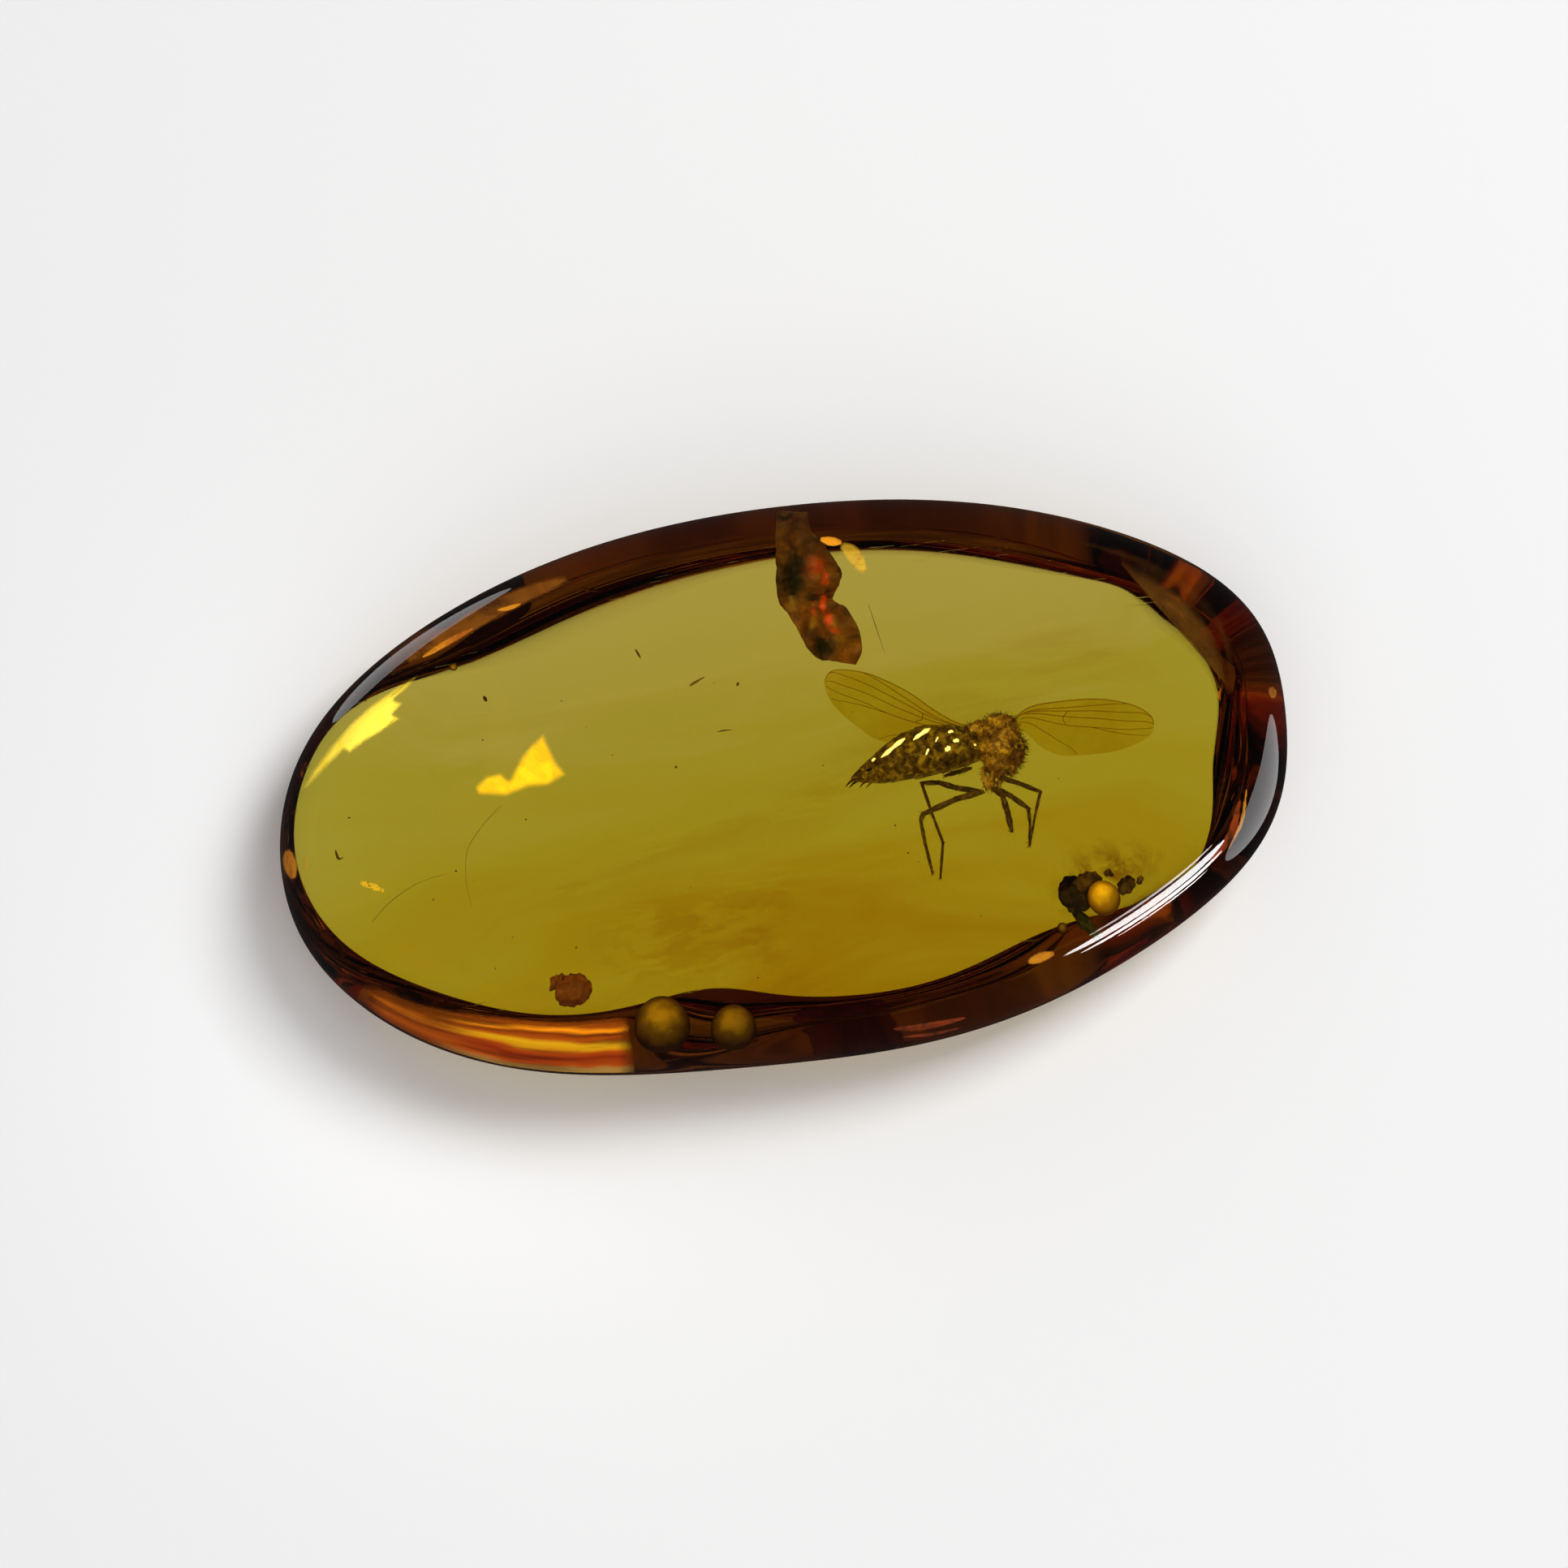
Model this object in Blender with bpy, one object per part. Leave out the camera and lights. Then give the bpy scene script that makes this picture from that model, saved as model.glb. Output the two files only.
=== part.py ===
"""A polished piece of fossil amber, lying on its flat ground back.

The stone is one natural solid: a long oval with a low domed face, rounded shoulders, a girdle at
its widest, and a bevelled skirt that runs in to the flat back. Nothing on it opens or comes off,
so it is one closed mesh. The insect and the other inclusions are sealed inside the resin and are
not separate pieces.

Frame: metres, +Z up, +X along the stone's length. The origin is at the middle of the flat back.
"""
import math

import bmesh
import bpy

# Driving dimensions
LENGTH = 0.0300  # along X
WIDTH = 0.0165  # along Y
THICKNESS = 0.0080
GIRDLE_HEIGHT = 0.0031  # the widest level, above the flat back

# The girdle dips at the left end: how far, towards which angle in degrees, and how sharply
GIRDLE_DIP = 0.0017
GIRDLE_DIP_ANGLE = 176
GIRDLE_DIP_SHARPNESS = 14

# The outline is an ellipse that hand polishing left with low lobes.
# Each lobe: (crests round the outline, height as a share of the radius, one crest's angle in degrees)
OUTLINE_LOBES = (
    (3, 0.0033, -27),
    (4, 0.0124, 41),
    (5, 0.0049, 15),
    (6, 0.0038, -20),
    (7, 0.0040, -26),
    (8, 0.0033, 16),
)

# The skirt: how far the flat back's rim lies in from the girdle. It was ground unevenly, and is
# widest on the -Y side. Each swing: (crests round the stone, metres, one crest's angle in degrees)
SKIRT_MEAN = 0.00354
SKIRT_SWINGS = (
    (1, 0.00066, -96),
    (2, 0.00012, 83),
    (3, 0.00018, -19),
    (4, 0.00017, -45),
)
SKIRT_ROUNDNESS = 1.1  # superellipse power: 1 is a plain bevel, 2 a quarter ellipse

# The shoulder above the girdle, and the low dome that it carries
SHOULDER_WIDTH = 0.0040
SHOULDER_HEIGHT = 0.0037
SHOULDER_ROUNDNESS = 2.1

SEGMENTS = 120  # round the outline
SKIRT_RINGS = 8
SHOULDER_RINGS = 10
DOME_RINGS = 6


def swing(angle, terms):
    """The sum of a few cosine waves round the outline."""
    return sum(size * math.cos(count * (angle - math.radians(crest))) for count, size, crest in terms)


def girdle_point(angle):
    """A point of the widest outline before it is centred."""
    reach = 1 + swing(angle, OUTLINE_LOBES)
    return LENGTH / 2 * reach * math.cos(angle), WIDTH / 2 * reach * math.sin(angle)


def fitted_outline(segments):
    """The outline as (angle, x, y, support) points, centred and scaled to exactly LENGTH by WIDTH.

    The support is the distance from the centre to the outline's tangent at that point, so an inset
    of d metres along the outline's normal is a scaling by 1 - d / support.
    """
    angles = [2 * math.pi * i / segments for i in range(segments)]
    raw = [girdle_point(angle) for angle in angles]
    xs, ys = zip(*raw)
    middle = (max(xs) + min(xs)) / 2, (max(ys) + min(ys)) / 2
    scale = LENGTH / (max(xs) - min(xs)), WIDTH / (max(ys) - min(ys))
    points = [((x - middle[0]) * scale[0], (y - middle[1]) * scale[1]) for x, y in raw]
    outline = []
    for i, (x, y) in enumerate(points):
        (x0, y0), (x1, y1) = points[i - 1], points[(i + 1) % segments]
        support = (x * (y1 - y0) - y * (x1 - x0)) / math.hypot(x1 - x0, y1 - y0)
        outline.append((angles[i], x, y, support))
    return outline


def quarter_arc(share, roundness):
    """A superellipse's quarter: (sine side, cosine side), each from 0 to 1."""
    turn = math.pi / 2 * share
    return math.sin(turn) ** (2 / roundness), max(math.cos(turn), 0.0) ** (2 / roundness)


def profile():
    """The side profile from the flat back's rim to the last ring round the dome's centre.

    Each row is (share of the skirt's width in from the girdle, share of the shoulder's width in
    from the girdle, share of the way from there to the centre, share of the climb from the back to
    the girdle, share of the climb from the girdle to the shoulder's top).
    """
    rows = []
    for i in range(SKIRT_RINGS + 1):
        out, fall = quarter_arc(i / SKIRT_RINGS, SKIRT_ROUNDNESS)
        rows.append((1 - out, 0.0, 0.0, 1 - fall, 0.0))
    for i in range(1, SHOULDER_RINGS + 1):
        rise, out = quarter_arc(i / SHOULDER_RINGS, SHOULDER_ROUNDNESS)
        rows.append((0.0, 1 - out, 0.0, 1.0, rise))
    for i in range(1, DOME_RINGS):
        rows.append((0.0, 1.0, i / DOME_RINGS, 1.0, 1.0))
    return rows


def girdle_height(angle):
    """The height of the widest line at one direction of the outline."""
    nearness = (1 + math.cos(angle - math.radians(GIRDLE_DIP_ANGLE))) / 2
    return GIRDLE_HEIGHT - GIRDLE_DIP * nearness ** GIRDLE_DIP_SHARPNESS


def dome_rise(reach):
    """The low dome's height above the shoulder, at a share of the way out from the centre to the girdle."""
    return (THICKNESS - GIRDLE_HEIGHT - SHOULDER_HEIGHT) * (1 - reach ** 2)


def ring_point(point, row):
    """Where one row of the profile meets one direction of the outline."""
    angle, x, y, support = point
    skirt_share, shoulder_share, centre_share, edge_share, rise_share = row
    skirt_width = SKIRT_MEAN + swing(angle, SKIRT_SWINGS)
    reach = 1 - (skirt_share * skirt_width + shoulder_share * SHOULDER_WIDTH) / support
    reach *= 1 - centre_share
    edge = girdle_height(angle)
    height = edge * edge_share + (GIRDLE_HEIGHT + SHOULDER_HEIGHT - edge) * rise_share
    dome = dome_rise(reach) if rise_share > 0 else 0.0
    return x * reach, y * reach, height + dome


def amber_mesh(name):
    outline = fitted_outline(SEGMENTS)
    mesh = bmesh.new()
    rings = [[mesh.verts.new(ring_point(point, row)) for point in outline] for row in profile()]
    top = mesh.verts.new((0, 0, THICKNESS))
    mesh.faces.new(list(reversed(rings[0])))
    for lower, upper in zip(rings, rings[1:]):
        for i in range(SEGMENTS):
            j = (i + 1) % SEGMENTS
            mesh.faces.new((lower[i], lower[j], upper[j], upper[i]))
    for i in range(SEGMENTS):
        mesh.faces.new((rings[-1][i], rings[-1][(i + 1) % SEGMENTS], top))
    data = bpy.data.meshes.new(name)
    mesh.to_mesh(data)
    mesh.free()
    data.shade_smooth()
    data.set_sharp_from_angle(angle=math.radians(30))
    return data


def amber_material():
    """Clear honey amber: light passes through it and is tinted by its depth."""
    material = bpy.data.materials.new("amber")
    material.use_nodes = True
    shader = material.node_tree.nodes["Principled BSDF"]
    shader.inputs["Base Color"].default_value = (0.55, 0.40, 0.05, 1)
    shader.inputs["Roughness"].default_value = 0.03
    shader.inputs["Metallic"].default_value = 0.0
    shader.inputs["IOR"].default_value = 1.54
    shader.inputs["Transmission Weight"].default_value = 1.0
    return material


def build():
    for old in list(bpy.data.objects):
        bpy.data.objects.remove(old)
    stone = bpy.data.objects.new("amber", amber_mesh("amber"))
    stone.data.materials.append(amber_material())
    bpy.context.scene.collection.objects.link(stone)


build()
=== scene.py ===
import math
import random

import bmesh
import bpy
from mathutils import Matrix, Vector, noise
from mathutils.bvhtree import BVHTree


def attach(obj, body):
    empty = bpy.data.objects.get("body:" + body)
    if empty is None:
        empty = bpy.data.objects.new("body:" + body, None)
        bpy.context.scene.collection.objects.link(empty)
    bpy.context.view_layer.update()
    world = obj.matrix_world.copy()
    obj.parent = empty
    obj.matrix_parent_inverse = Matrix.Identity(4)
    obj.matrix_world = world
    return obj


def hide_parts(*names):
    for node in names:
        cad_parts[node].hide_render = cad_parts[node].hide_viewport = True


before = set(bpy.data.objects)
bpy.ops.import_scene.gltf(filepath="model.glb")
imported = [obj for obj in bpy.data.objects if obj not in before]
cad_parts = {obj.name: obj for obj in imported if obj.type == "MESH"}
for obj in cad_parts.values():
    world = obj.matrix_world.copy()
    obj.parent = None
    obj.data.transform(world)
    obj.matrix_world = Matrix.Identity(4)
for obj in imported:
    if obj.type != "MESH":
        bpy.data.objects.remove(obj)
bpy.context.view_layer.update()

# The looks of a small fly sealed in a polished piece of amber.
#
# The stone is one clear solid. The fly, the bark flake, the golden fracture spangles, the gas bubbles, the
# debris, the specks, the hairs and the flow layers lie inside it. The spangles' and glints' bright colours,
# the pale streaks on the fly and the bubbles' light tops and dark sides are painted light and shade.
# What lies inside is placed by the pixel of the 1932 x 1932 photograph that shows it and by its depth under
# the polished face: sealed() follows the sight line through that pixel, bends it at the face as amber does,
# and goes down it by that depth.

MM = 0.001

# The photograph's frame
PHOTO_SIZE = 1932  # pixels, square
STONE_CENTRE_PX = (964.16, 968.76)  # the middle of the stone's outline
METRES_PER_PX = 0.023867 * MM  # the stone is 30 mm long and 1257 px long
VIEW_AZIMUTH = -9.79  # degrees: the stone's long axis rises to the right
VIEW_ELEVATION = 80.0
LENS = 150.0  # mm
SENSOR = 36.0  # mm

# The stone, as the CAD has it
LENGTH = 30.0 * MM
WIDTH = 16.5 * MM
THICKNESS = 8.0 * MM
GIRDLE_HEIGHT = 3.1 * MM
OUTLINE_LOBES = (  # crests round the outline, height as a share of the radius, one crest's angle
    (3, 0.0033, -27),
    (4, 0.0124, 41),
    (5, 0.0049, 15),
    (6, 0.0038, -20),
    (7, 0.0040, -26),
    (8, 0.0033, 16),
)
GIRDLE_DIP = 1.7 * MM  # the edge runs lower at the stone's left end
GIRDLE_DIP_ANGLE = 176.0  # degrees
GIRDLE_DIP_SHARPNESS = 14
SKIRT_MEAN = 3.54 * MM
SKIRT_SWINGS = (  # crests round the stone, metres, one crest's angle
    (1, 0.66 * MM, -96),
    (2, 0.12 * MM, 83),
    (3, 0.18 * MM, -19),
    (4, 0.17 * MM, -45),
)
SKIRT_ROUNDNESS = 1.1
SHOULDER_WIDTH = 4.0 * MM
SHOULDER_HEIGHT = 3.7 * MM
SHOULDER_ROUNDNESS = 2.1
SEGMENTS = 384
SKIRT_RINGS = 24
SHOULDER_RINGS = 32
DOME_RINGS = 16

AMBER_IOR = 1.54
AMBER_ABSORPTION = (35.0, 68.0, 280.0)  # per metre, for red, green and blue
SHARP_ANGLE = 35.0  # degrees: sharper edges of the stone's mesh are shaded as edges
LEAST_DEPTH = 0.1 * MM  # level and facing sheets lie at least this far down their sight lines
FUSE_SMOOTHING = 2  # rounds of smoothing on bodies that are melted into one


# ----
# Mesh helpers

def add_object(name, data):
    """Put a new object with this data into the scene."""
    made = bpy.data.objects.new(name, data)
    bpy.context.scene.collection.objects.link(made)
    return made


def add_piece(name, verts, faces, material):
    """Make one smooth piece of the object from its points and faces, on the stone's body."""
    data = bpy.data.meshes.new(name)
    data.from_pydata([tuple(v) for v in verts], [], faces)
    data.shade_smooth()
    data.materials.append(material)
    piece = add_object(name, data)
    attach(piece, "root")
    return piece


def mark_points(piece, name, values):
    """Give each point of a piece a number, or a vector, that its material reads by this name."""
    one_number = isinstance(values[0], float)
    layer = piece.data.attributes.new(name, "FLOAT" if one_number else "FLOAT_VECTOR", "POINT")
    for point, value in zip(layer.data, values):
        setattr(point, "value" if one_number else "vector", value)


def ring_faces(rings, count):
    """The faces between rings of so many points each."""
    faces = []
    for k in range(rings - 1):
        for i in range(count):
            j = (i + 1) % count
            faces.append((k * count + i, k * count + j, (k + 1) * count + j, (k + 1) * count + i))
    return faces


def grid_faces(rows, columns):
    """The faces of a net of rows by columns cells."""
    across = columns + 1
    return [(i * across + j, i * across + j + 1, (i + 1) * across + j + 1, (i + 1) * across + j)
            for i in range(rows) for j in range(columns)]


def smooth_path(points, steps):
    """A Catmull-Rom curve through points in 2-D or 3-D, with so many steps on each span."""
    points = [Vector((*p, 0)[:3]) for p in points]
    ends = [2 * points[0] - points[1]] + points + [2 * points[-1] - points[-2]]
    path = []
    for a, b, c, d in zip(ends, ends[1:], ends[2:], ends[3:]):
        for i in range(steps):
            t = i / steps
            path.append(0.5 * (2 * b + (c - a) * t + (2 * a - 5 * b + 4 * c - d) * t ** 2
                               + (3 * b - a - 3 * c + d) * t ** 3))
    return path + [points[-1]]


def heading(path, i):
    """The direction of a path at its point i."""
    return (path[min(i + 1, len(path) - 1)] - path[max(i - 1, 0)]).normalized()


def blend_values(values, share):
    """The value at a share from 0 to 1 of the way along an evenly spaced list."""
    place = share * (len(values) - 1)
    i = min(int(place), len(values) - 2)
    return values[i] + (values[i + 1] - values[i]) * (place - i)


class Shell:
    """Points and faces that are gathered up to be one piece."""

    def __init__(self):
        self.verts = []
        self.faces = []

    def add(self, verts, faces):
        start = len(self.verts)
        self.verts += [Vector(v) for v in verts]
        self.faces += [tuple(i + start for i in face) for face in faces]

    def loft(self, rings):
        """A closed body through rings of the same number of points."""
        count = len(rings[0])
        faces = [tuple(reversed(range(count)))] + ring_faces(len(rings), count)
        faces.append(tuple(range((len(rings) - 1) * count, len(rings) * count)))
        self.add([p for ring in rings for p in ring], faces)

    def tube(self, path, radii, sides=8):
        """A round tube along the path. The radii are spread evenly along it."""
        path = [Vector(p) for p in path]
        turns = [2 * math.pi * k / sides for k in range(sides)]
        side = heading(path, 0).orthogonal()
        rings = []
        for i, here in enumerate(path):
            ahead = heading(path, i)
            side = (side - ahead * ahead.dot(side)).normalized()
            other = ahead.cross(side)
            radius = blend_values(radii, i / (len(path) - 1))
            rings.append([here + (side * math.cos(t) + other * math.sin(t)) * radius for t in turns])
        self.loft(rings)

    def ball(self, centre, radii, turn=0.0, detail=3):
        """An ellipsoid, turned about Z by degrees."""
        ball = bmesh.new()
        bmesh.ops.create_icosphere(ball, subdivisions=detail, radius=1.0)
        place = Matrix.Translation(centre) @ Matrix.Rotation(math.radians(turn), 4, "Z")
        place @= Matrix.Diagonal((*radii, 1))
        bmesh.ops.transform(ball, matrix=place, verts=ball.verts)
        self.add([v.co.copy() for v in ball.verts], [[v.index for v in f.verts] for f in ball.faces])
        ball.free()

    def fuse(self, voxel):
        """Melt the bodies into one skin, and return it as a new shell. The unit is the millimetre."""
        data = bpy.data.meshes.new("fuse")
        data.from_pydata([tuple(v) for v in self.verts], [], self.faces)
        lump = add_object("fuse", data)
        remesh = lump.modifiers.new("remesh", "REMESH")
        remesh.mode = "VOXEL"
        remesh.voxel_size = voxel
        lump.modifiers.new("smooth", "SMOOTH").iterations = FUSE_SMOOTHING
        bpy.context.view_layer.update()
        evaluated = lump.evaluated_get(bpy.context.evaluated_depsgraph_get())
        skin = evaluated.to_mesh()
        fused = Shell()
        fused.add([v.co.copy() for v in skin.vertices], [tuple(p.vertices) for p in skin.polygons])
        evaluated.to_mesh_clear()
        bpy.data.objects.remove(lump)
        bpy.data.meshes.remove(data)
        return fused

    def roughen(self, size, height, seed):
        """Move each point out or in from the body's middle by a smooth noise."""
        shift = Vector((seed, seed * 1.7, seed * 2.3))
        middle = sum(self.verts, Vector()) / len(self.verts)
        for i, v in enumerate(self.verts):
            self.verts[i] = v + (v - middle).normalized() * noise.noise(v / size + shift) * height
        return self


# ----
# The stone's shape

def swing(angle, terms):
    return sum(size * math.cos(count * (angle - math.radians(crest))) for count, size, crest in terms)


def girdle_point(angle):
    reach = 1 + swing(angle, OUTLINE_LOBES)
    return LENGTH / 2 * reach * math.cos(angle), WIDTH / 2 * reach * math.sin(angle)


def fitted_outline(segments):
    """The outline as (angle, x, y, support) points, centred and scaled to exactly LENGTH by WIDTH."""
    angles = [2 * math.pi * i / segments for i in range(segments)]
    raw = [girdle_point(angle) for angle in angles]
    xs, ys = zip(*raw)
    middle = (max(xs) + min(xs)) / 2, (max(ys) + min(ys)) / 2
    scale = LENGTH / (max(xs) - min(xs)), WIDTH / (max(ys) - min(ys))
    points = [((x - middle[0]) * scale[0], (y - middle[1]) * scale[1]) for x, y in raw]
    outline = []
    for i, (x, y) in enumerate(points):
        (x0, y0), (x1, y1) = points[i - 1], points[(i + 1) % segments]
        support = (x * (y1 - y0) - y * (x1 - x0)) / math.hypot(x1 - x0, y1 - y0)
        outline.append((angles[i], x, y, support))
    return outline


def quarter_arc(share, roundness):
    turn = math.pi / 2 * share
    return math.sin(turn) ** (2 / roundness), max(math.cos(turn), 0.0) ** (2 / roundness)


def profile():
    """Rows of (skirt share, shoulder share, centre share, edge share, rise share), from the back up."""
    rows = []
    for i in range(SKIRT_RINGS + 1):
        out, fall = quarter_arc(i / SKIRT_RINGS, SKIRT_ROUNDNESS)
        rows.append((1 - out, 0.0, 0.0, 1 - fall, 0.0))
    for i in range(1, SHOULDER_RINGS + 1):
        rise, out = quarter_arc(i / SHOULDER_RINGS, SHOULDER_ROUNDNESS)
        rows.append((0.0, 1 - out, 0.0, 1.0, rise))
    for i in range(1, DOME_RINGS):
        rows.append((0.0, 1.0, i / DOME_RINGS, 1.0, 1.0))
    return rows


def girdle_height(angle):
    """The height of the stone's widest line. It dips at the left end."""
    nearness = (1 + math.cos(angle - math.radians(GIRDLE_DIP_ANGLE))) / 2
    return GIRDLE_HEIGHT - GIRDLE_DIP * nearness ** GIRDLE_DIP_SHARPNESS


def dome_rise(reach):
    return (THICKNESS - GIRDLE_HEIGHT - SHOULDER_HEIGHT) * (1 - reach ** 2)


def ring_point(point, row):
    angle, x, y, support = point
    skirt_share, shoulder_share, centre_share, edge_share, rise_share = row
    skirt_width = SKIRT_MEAN + swing(angle, SKIRT_SWINGS)
    reach = 1 - (skirt_share * skirt_width + shoulder_share * SHOULDER_WIDTH) / support
    reach *= 1 - centre_share
    edge = girdle_height(angle)
    height = edge * edge_share + (GIRDLE_HEIGHT + SHOULDER_HEIGHT - edge) * rise_share
    dome = dome_rise(reach) if rise_share > 0 else 0.0
    return Vector((x * reach, y * reach, height + dome))


def stone_shell():
    """The points and faces of the whole stone, from its flat back to the top of the dome."""
    outline = fitted_outline(SEGMENTS)
    rings = [[ring_point(point, row) for point in outline] for row in profile()]
    verts = [p for ring in rings for p in ring] + [Vector((0, 0, THICKNESS))]
    faces = [tuple(reversed(range(SEGMENTS)))] + ring_faces(len(rings), SEGMENTS)
    last = (len(rings) - 1) * SEGMENTS
    faces += [(last + i, last + (i + 1) % SEGMENTS, len(verts) - 1) for i in range(SEGMENTS)]
    return verts, faces


# ----
# Sight lines: from a pixel of the photograph to a point in the resin

def view_axes():
    """The camera's right, up and back directions."""
    azimuth, elevation = math.radians(VIEW_AZIMUTH), math.radians(VIEW_ELEVATION)
    back = Vector((math.sin(azimuth) * math.cos(elevation), -math.cos(azimuth) * math.cos(elevation),
                   math.sin(elevation)))
    right = Vector((math.cos(azimuth), math.sin(azimuth), 0))
    return right, back.cross(right), back


RIGHT, UP, BACK = view_axes()
CAMERA_DISTANCE = METRES_PER_PX * PHOTO_SIZE * LENS / SENSOR
GIRDLE_MIDDLE = Vector((0, 0, GIRDLE_HEIGHT))
AIM = (GIRDLE_MIDDLE + RIGHT * (PHOTO_SIZE / 2 - STONE_CENTRE_PX[0]) * METRES_PER_PX
       - UP * (PHOTO_SIZE / 2 - STONE_CENTRE_PX[1]) * METRES_PER_PX)
CAMERA_PLACE = AIM + BACK * CAMERA_DISTANCE

STONE_VERTS, STONE_FACES = stone_shell()
STONE_TREE = BVHTree.FromPolygons(STONE_VERTS, STONE_FACES)


def sight_line(px, py):
    """Where the sight line through a pixel enters the stone, and its direction inside."""
    across = (px - PHOTO_SIZE / 2) * METRES_PER_PX
    down = (py - PHOTO_SIZE / 2) * METRES_PER_PX
    ray = (AIM + RIGHT * across - UP * down - CAMERA_PLACE).normalized()
    hit, normal, _, _ = STONE_TREE.ray_cast(CAMERA_PLACE, ray)
    if hit is None:
        raise ValueError(f"pixel {px:.0f}, {py:.0f} is outside the stone")
    cosine = -ray.dot(normal)
    bend = math.sqrt(1 - (1 - cosine ** 2) / AMBER_IOR ** 2)
    inside = ray / AMBER_IOR + normal * (cosine / AMBER_IOR - bend)
    return hit, inside.normalized()


def sealed(px, py, depth):
    """The point in the resin that a pixel shows, at a depth in millimetres under the polished face."""
    hit, inside = sight_line(px, py)
    return hit + inside * depth * MM


def sealed_level(px, py, height):
    """The point in the resin that a pixel shows, at a height in millimetres above the stone's back."""
    hit, inside = sight_line(px, py)
    return hit + inside * max(LEAST_DEPTH, (height * MM - hit.z) / inside.z)


# ----
# Materials

def new_material(name, **sockets):
    """A Principled material with the given socket values, and its node tree and shader."""
    material = bpy.data.materials.new(name)
    material.use_nodes = True
    tree = material.node_tree
    shader = tree.nodes["Principled BSDF"]
    for key, value in sockets.items():
        shader.inputs[key.replace("_", " ")].default_value = value
    return material, tree, shader


def straight_through(name, **sockets):
    """A new material that light passes straight through, taking its colour."""
    return new_material(name, Roughness=0.0, IOR=1.0, Transmission_Weight=1.0, Specular_IOR_Level=0.0,
                        **sockets)


def material_set(make, prefix, looks):
    """One material for each named look of a family."""
    return {kind: make(f"{prefix}_{kind}", *look) for kind, look in looks.items()}


def node(tree, kind, inputs=None, **settings):
    """A new shader node. Inputs are values or the outputs of other nodes."""
    made = tree.nodes.new("ShaderNode" + kind)
    for key, value in settings.items():
        setattr(made, key, value)
    for key, value in (inputs or {}).items():
        if isinstance(value, bpy.types.NodeSocket):
            tree.links.new(value, made.inputs[key])
        else:
            made.inputs[key].default_value = value
    return made


def scaled(tree, vector, factor):
    return node(tree, "VectorMath", {0: vector, "Scale": factor}, operation="SCALE").outputs["Vector"]


def calculate(tree, operation, first, second):
    return node(tree, "Math", {0: first, 1: second}, operation=operation).outputs[0]


def split(tree, vector):
    return node(tree, "SeparateXYZ", {"Vector": vector}).outputs


def turned(tree, vector, scale, turn=0.0):
    """The coordinates turned about Z by degrees and scaled, to stretch a noise."""
    return node(tree, "Mapping", {"Vector": vector, "Scale": scale,
                                  "Rotation": (0, 0, math.radians(turn))}).outputs["Vector"]


def mixed(tree, share, low, high):
    """The low colour at share 0 and the high one at share 1. Sockets 6, 7 and 2 are the node's colours."""
    return node(tree, "Mix", {"Factor": share, 6: low, 7: high}, data_type="RGBA").outputs[2]


def marked(tree, name, output="Fac"):
    """What mark_points gave the piece's points by this name."""
    return node(tree, "Attribute", attribute_name=name).outputs[output]


def set_colour(tree, shader, colour):
    tree.links.new(colour, shader.inputs["Base Color"])


def millimetres(tree):
    """The surface's own coordinates, in millimetres."""
    return scaled(tree, node(tree, "TexCoord").outputs["Object"], 1 / MM)


def noise_value(tree, vector, per_mm, detail=4.0, roughness=0.55, distortion=0.0):
    return node(tree, "TexNoise", {"Vector": vector, "Scale": per_mm, "Detail": detail,
                                   "Roughness": roughness, "Distortion": distortion}).outputs["Fac"]


def colour_ramp(tree, value, stops):
    """A ramp through (place, (r, g, b)) stops."""
    made = node(tree, "ValToRGB", {"Fac": value})
    elements = made.color_ramp.elements
    while len(elements) < len(stops):
        elements.new(0.5)
    for element, (place, colour) in zip(elements, stops):
        element.position = place
        element.color = (*colour, 1)
    return made.outputs["Color"]


def value_ramp(tree, value, low, high, to_low=0.0, to_high=1.0):
    """A smooth step: to_low up to low, to_high from high on."""
    return node(tree, "MapRange", {"Value": value, "From Min": low, "From Max": high, "To Min": to_low,
                                   "To Max": to_high}, interpolation_type="SMOOTHSTEP").outputs["Result"]


def add_bump(tree, shader, height, distance_mm, strength=1.0):
    bump = node(tree, "Bump", {"Height": height, "Distance": distance_mm * MM, "Strength": strength})
    tree.links.new(bump.outputs["Normal"], shader.inputs["Normal"])


def amber_material():
    """Clear honey amber with a hand polish: long, faint scratches and hardly any haze."""
    material, tree, shader = new_material(
        "amber", Base_Color=(0.97, 0.98, 0.70, 1), Roughness=0.02, IOR=AMBER_IOR, Transmission_Weight=1.0)
    stretched = turned(tree, millimetres(tree), (0.25, 6.0, 0.25), turn=50)
    scratches = value_ramp(tree, noise_value(tree, stretched, 2.2, detail=3.0), 0.66, 0.72)
    add_bump(tree, shader, scratches, 0.002, strength=0.12)
    strongest = max(AMBER_ABSORPTION)
    kept = [1 - value / strongest for value in AMBER_ABSORPTION]
    absorption = node(tree, "VolumeAbsorption", {"Color": (*kept, 1), "Density": strongest})
    tree.links.new(absorption.outputs["Volume"], tree.nodes["Material Output"].inputs["Volume"])
    return material


CUTICLES = {  # dark, middle and light colours, mottles per mm, roughness
    "golden": ((0.026, 0.010, 0.001), (0.17, 0.078, 0.002), (0.46, 0.27, 0.02), 4.2, 0.35),
    "dark": ((0.005, 0.003, 0.001), (0.07, 0.038, 0.001), (0.26, 0.17, 0.01), 4.4, 0.20),
    "leg": ((0.012, 0.006, 0.001), (0.055, 0.027, 0.001), (0.14, 0.08, 0.004), 6.0, 0.35),
    "eye": ((0.015, 0.005, 0.001), (0.08, 0.03, 0.001), (0.20, 0.09, 0.005), 9.0, 0.35),
    "hair": ((0.015, 0.007, 0.001), (0.07, 0.036, 0.001), (0.18, 0.11, 0.005), 8.0, 0.35),
}


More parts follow.
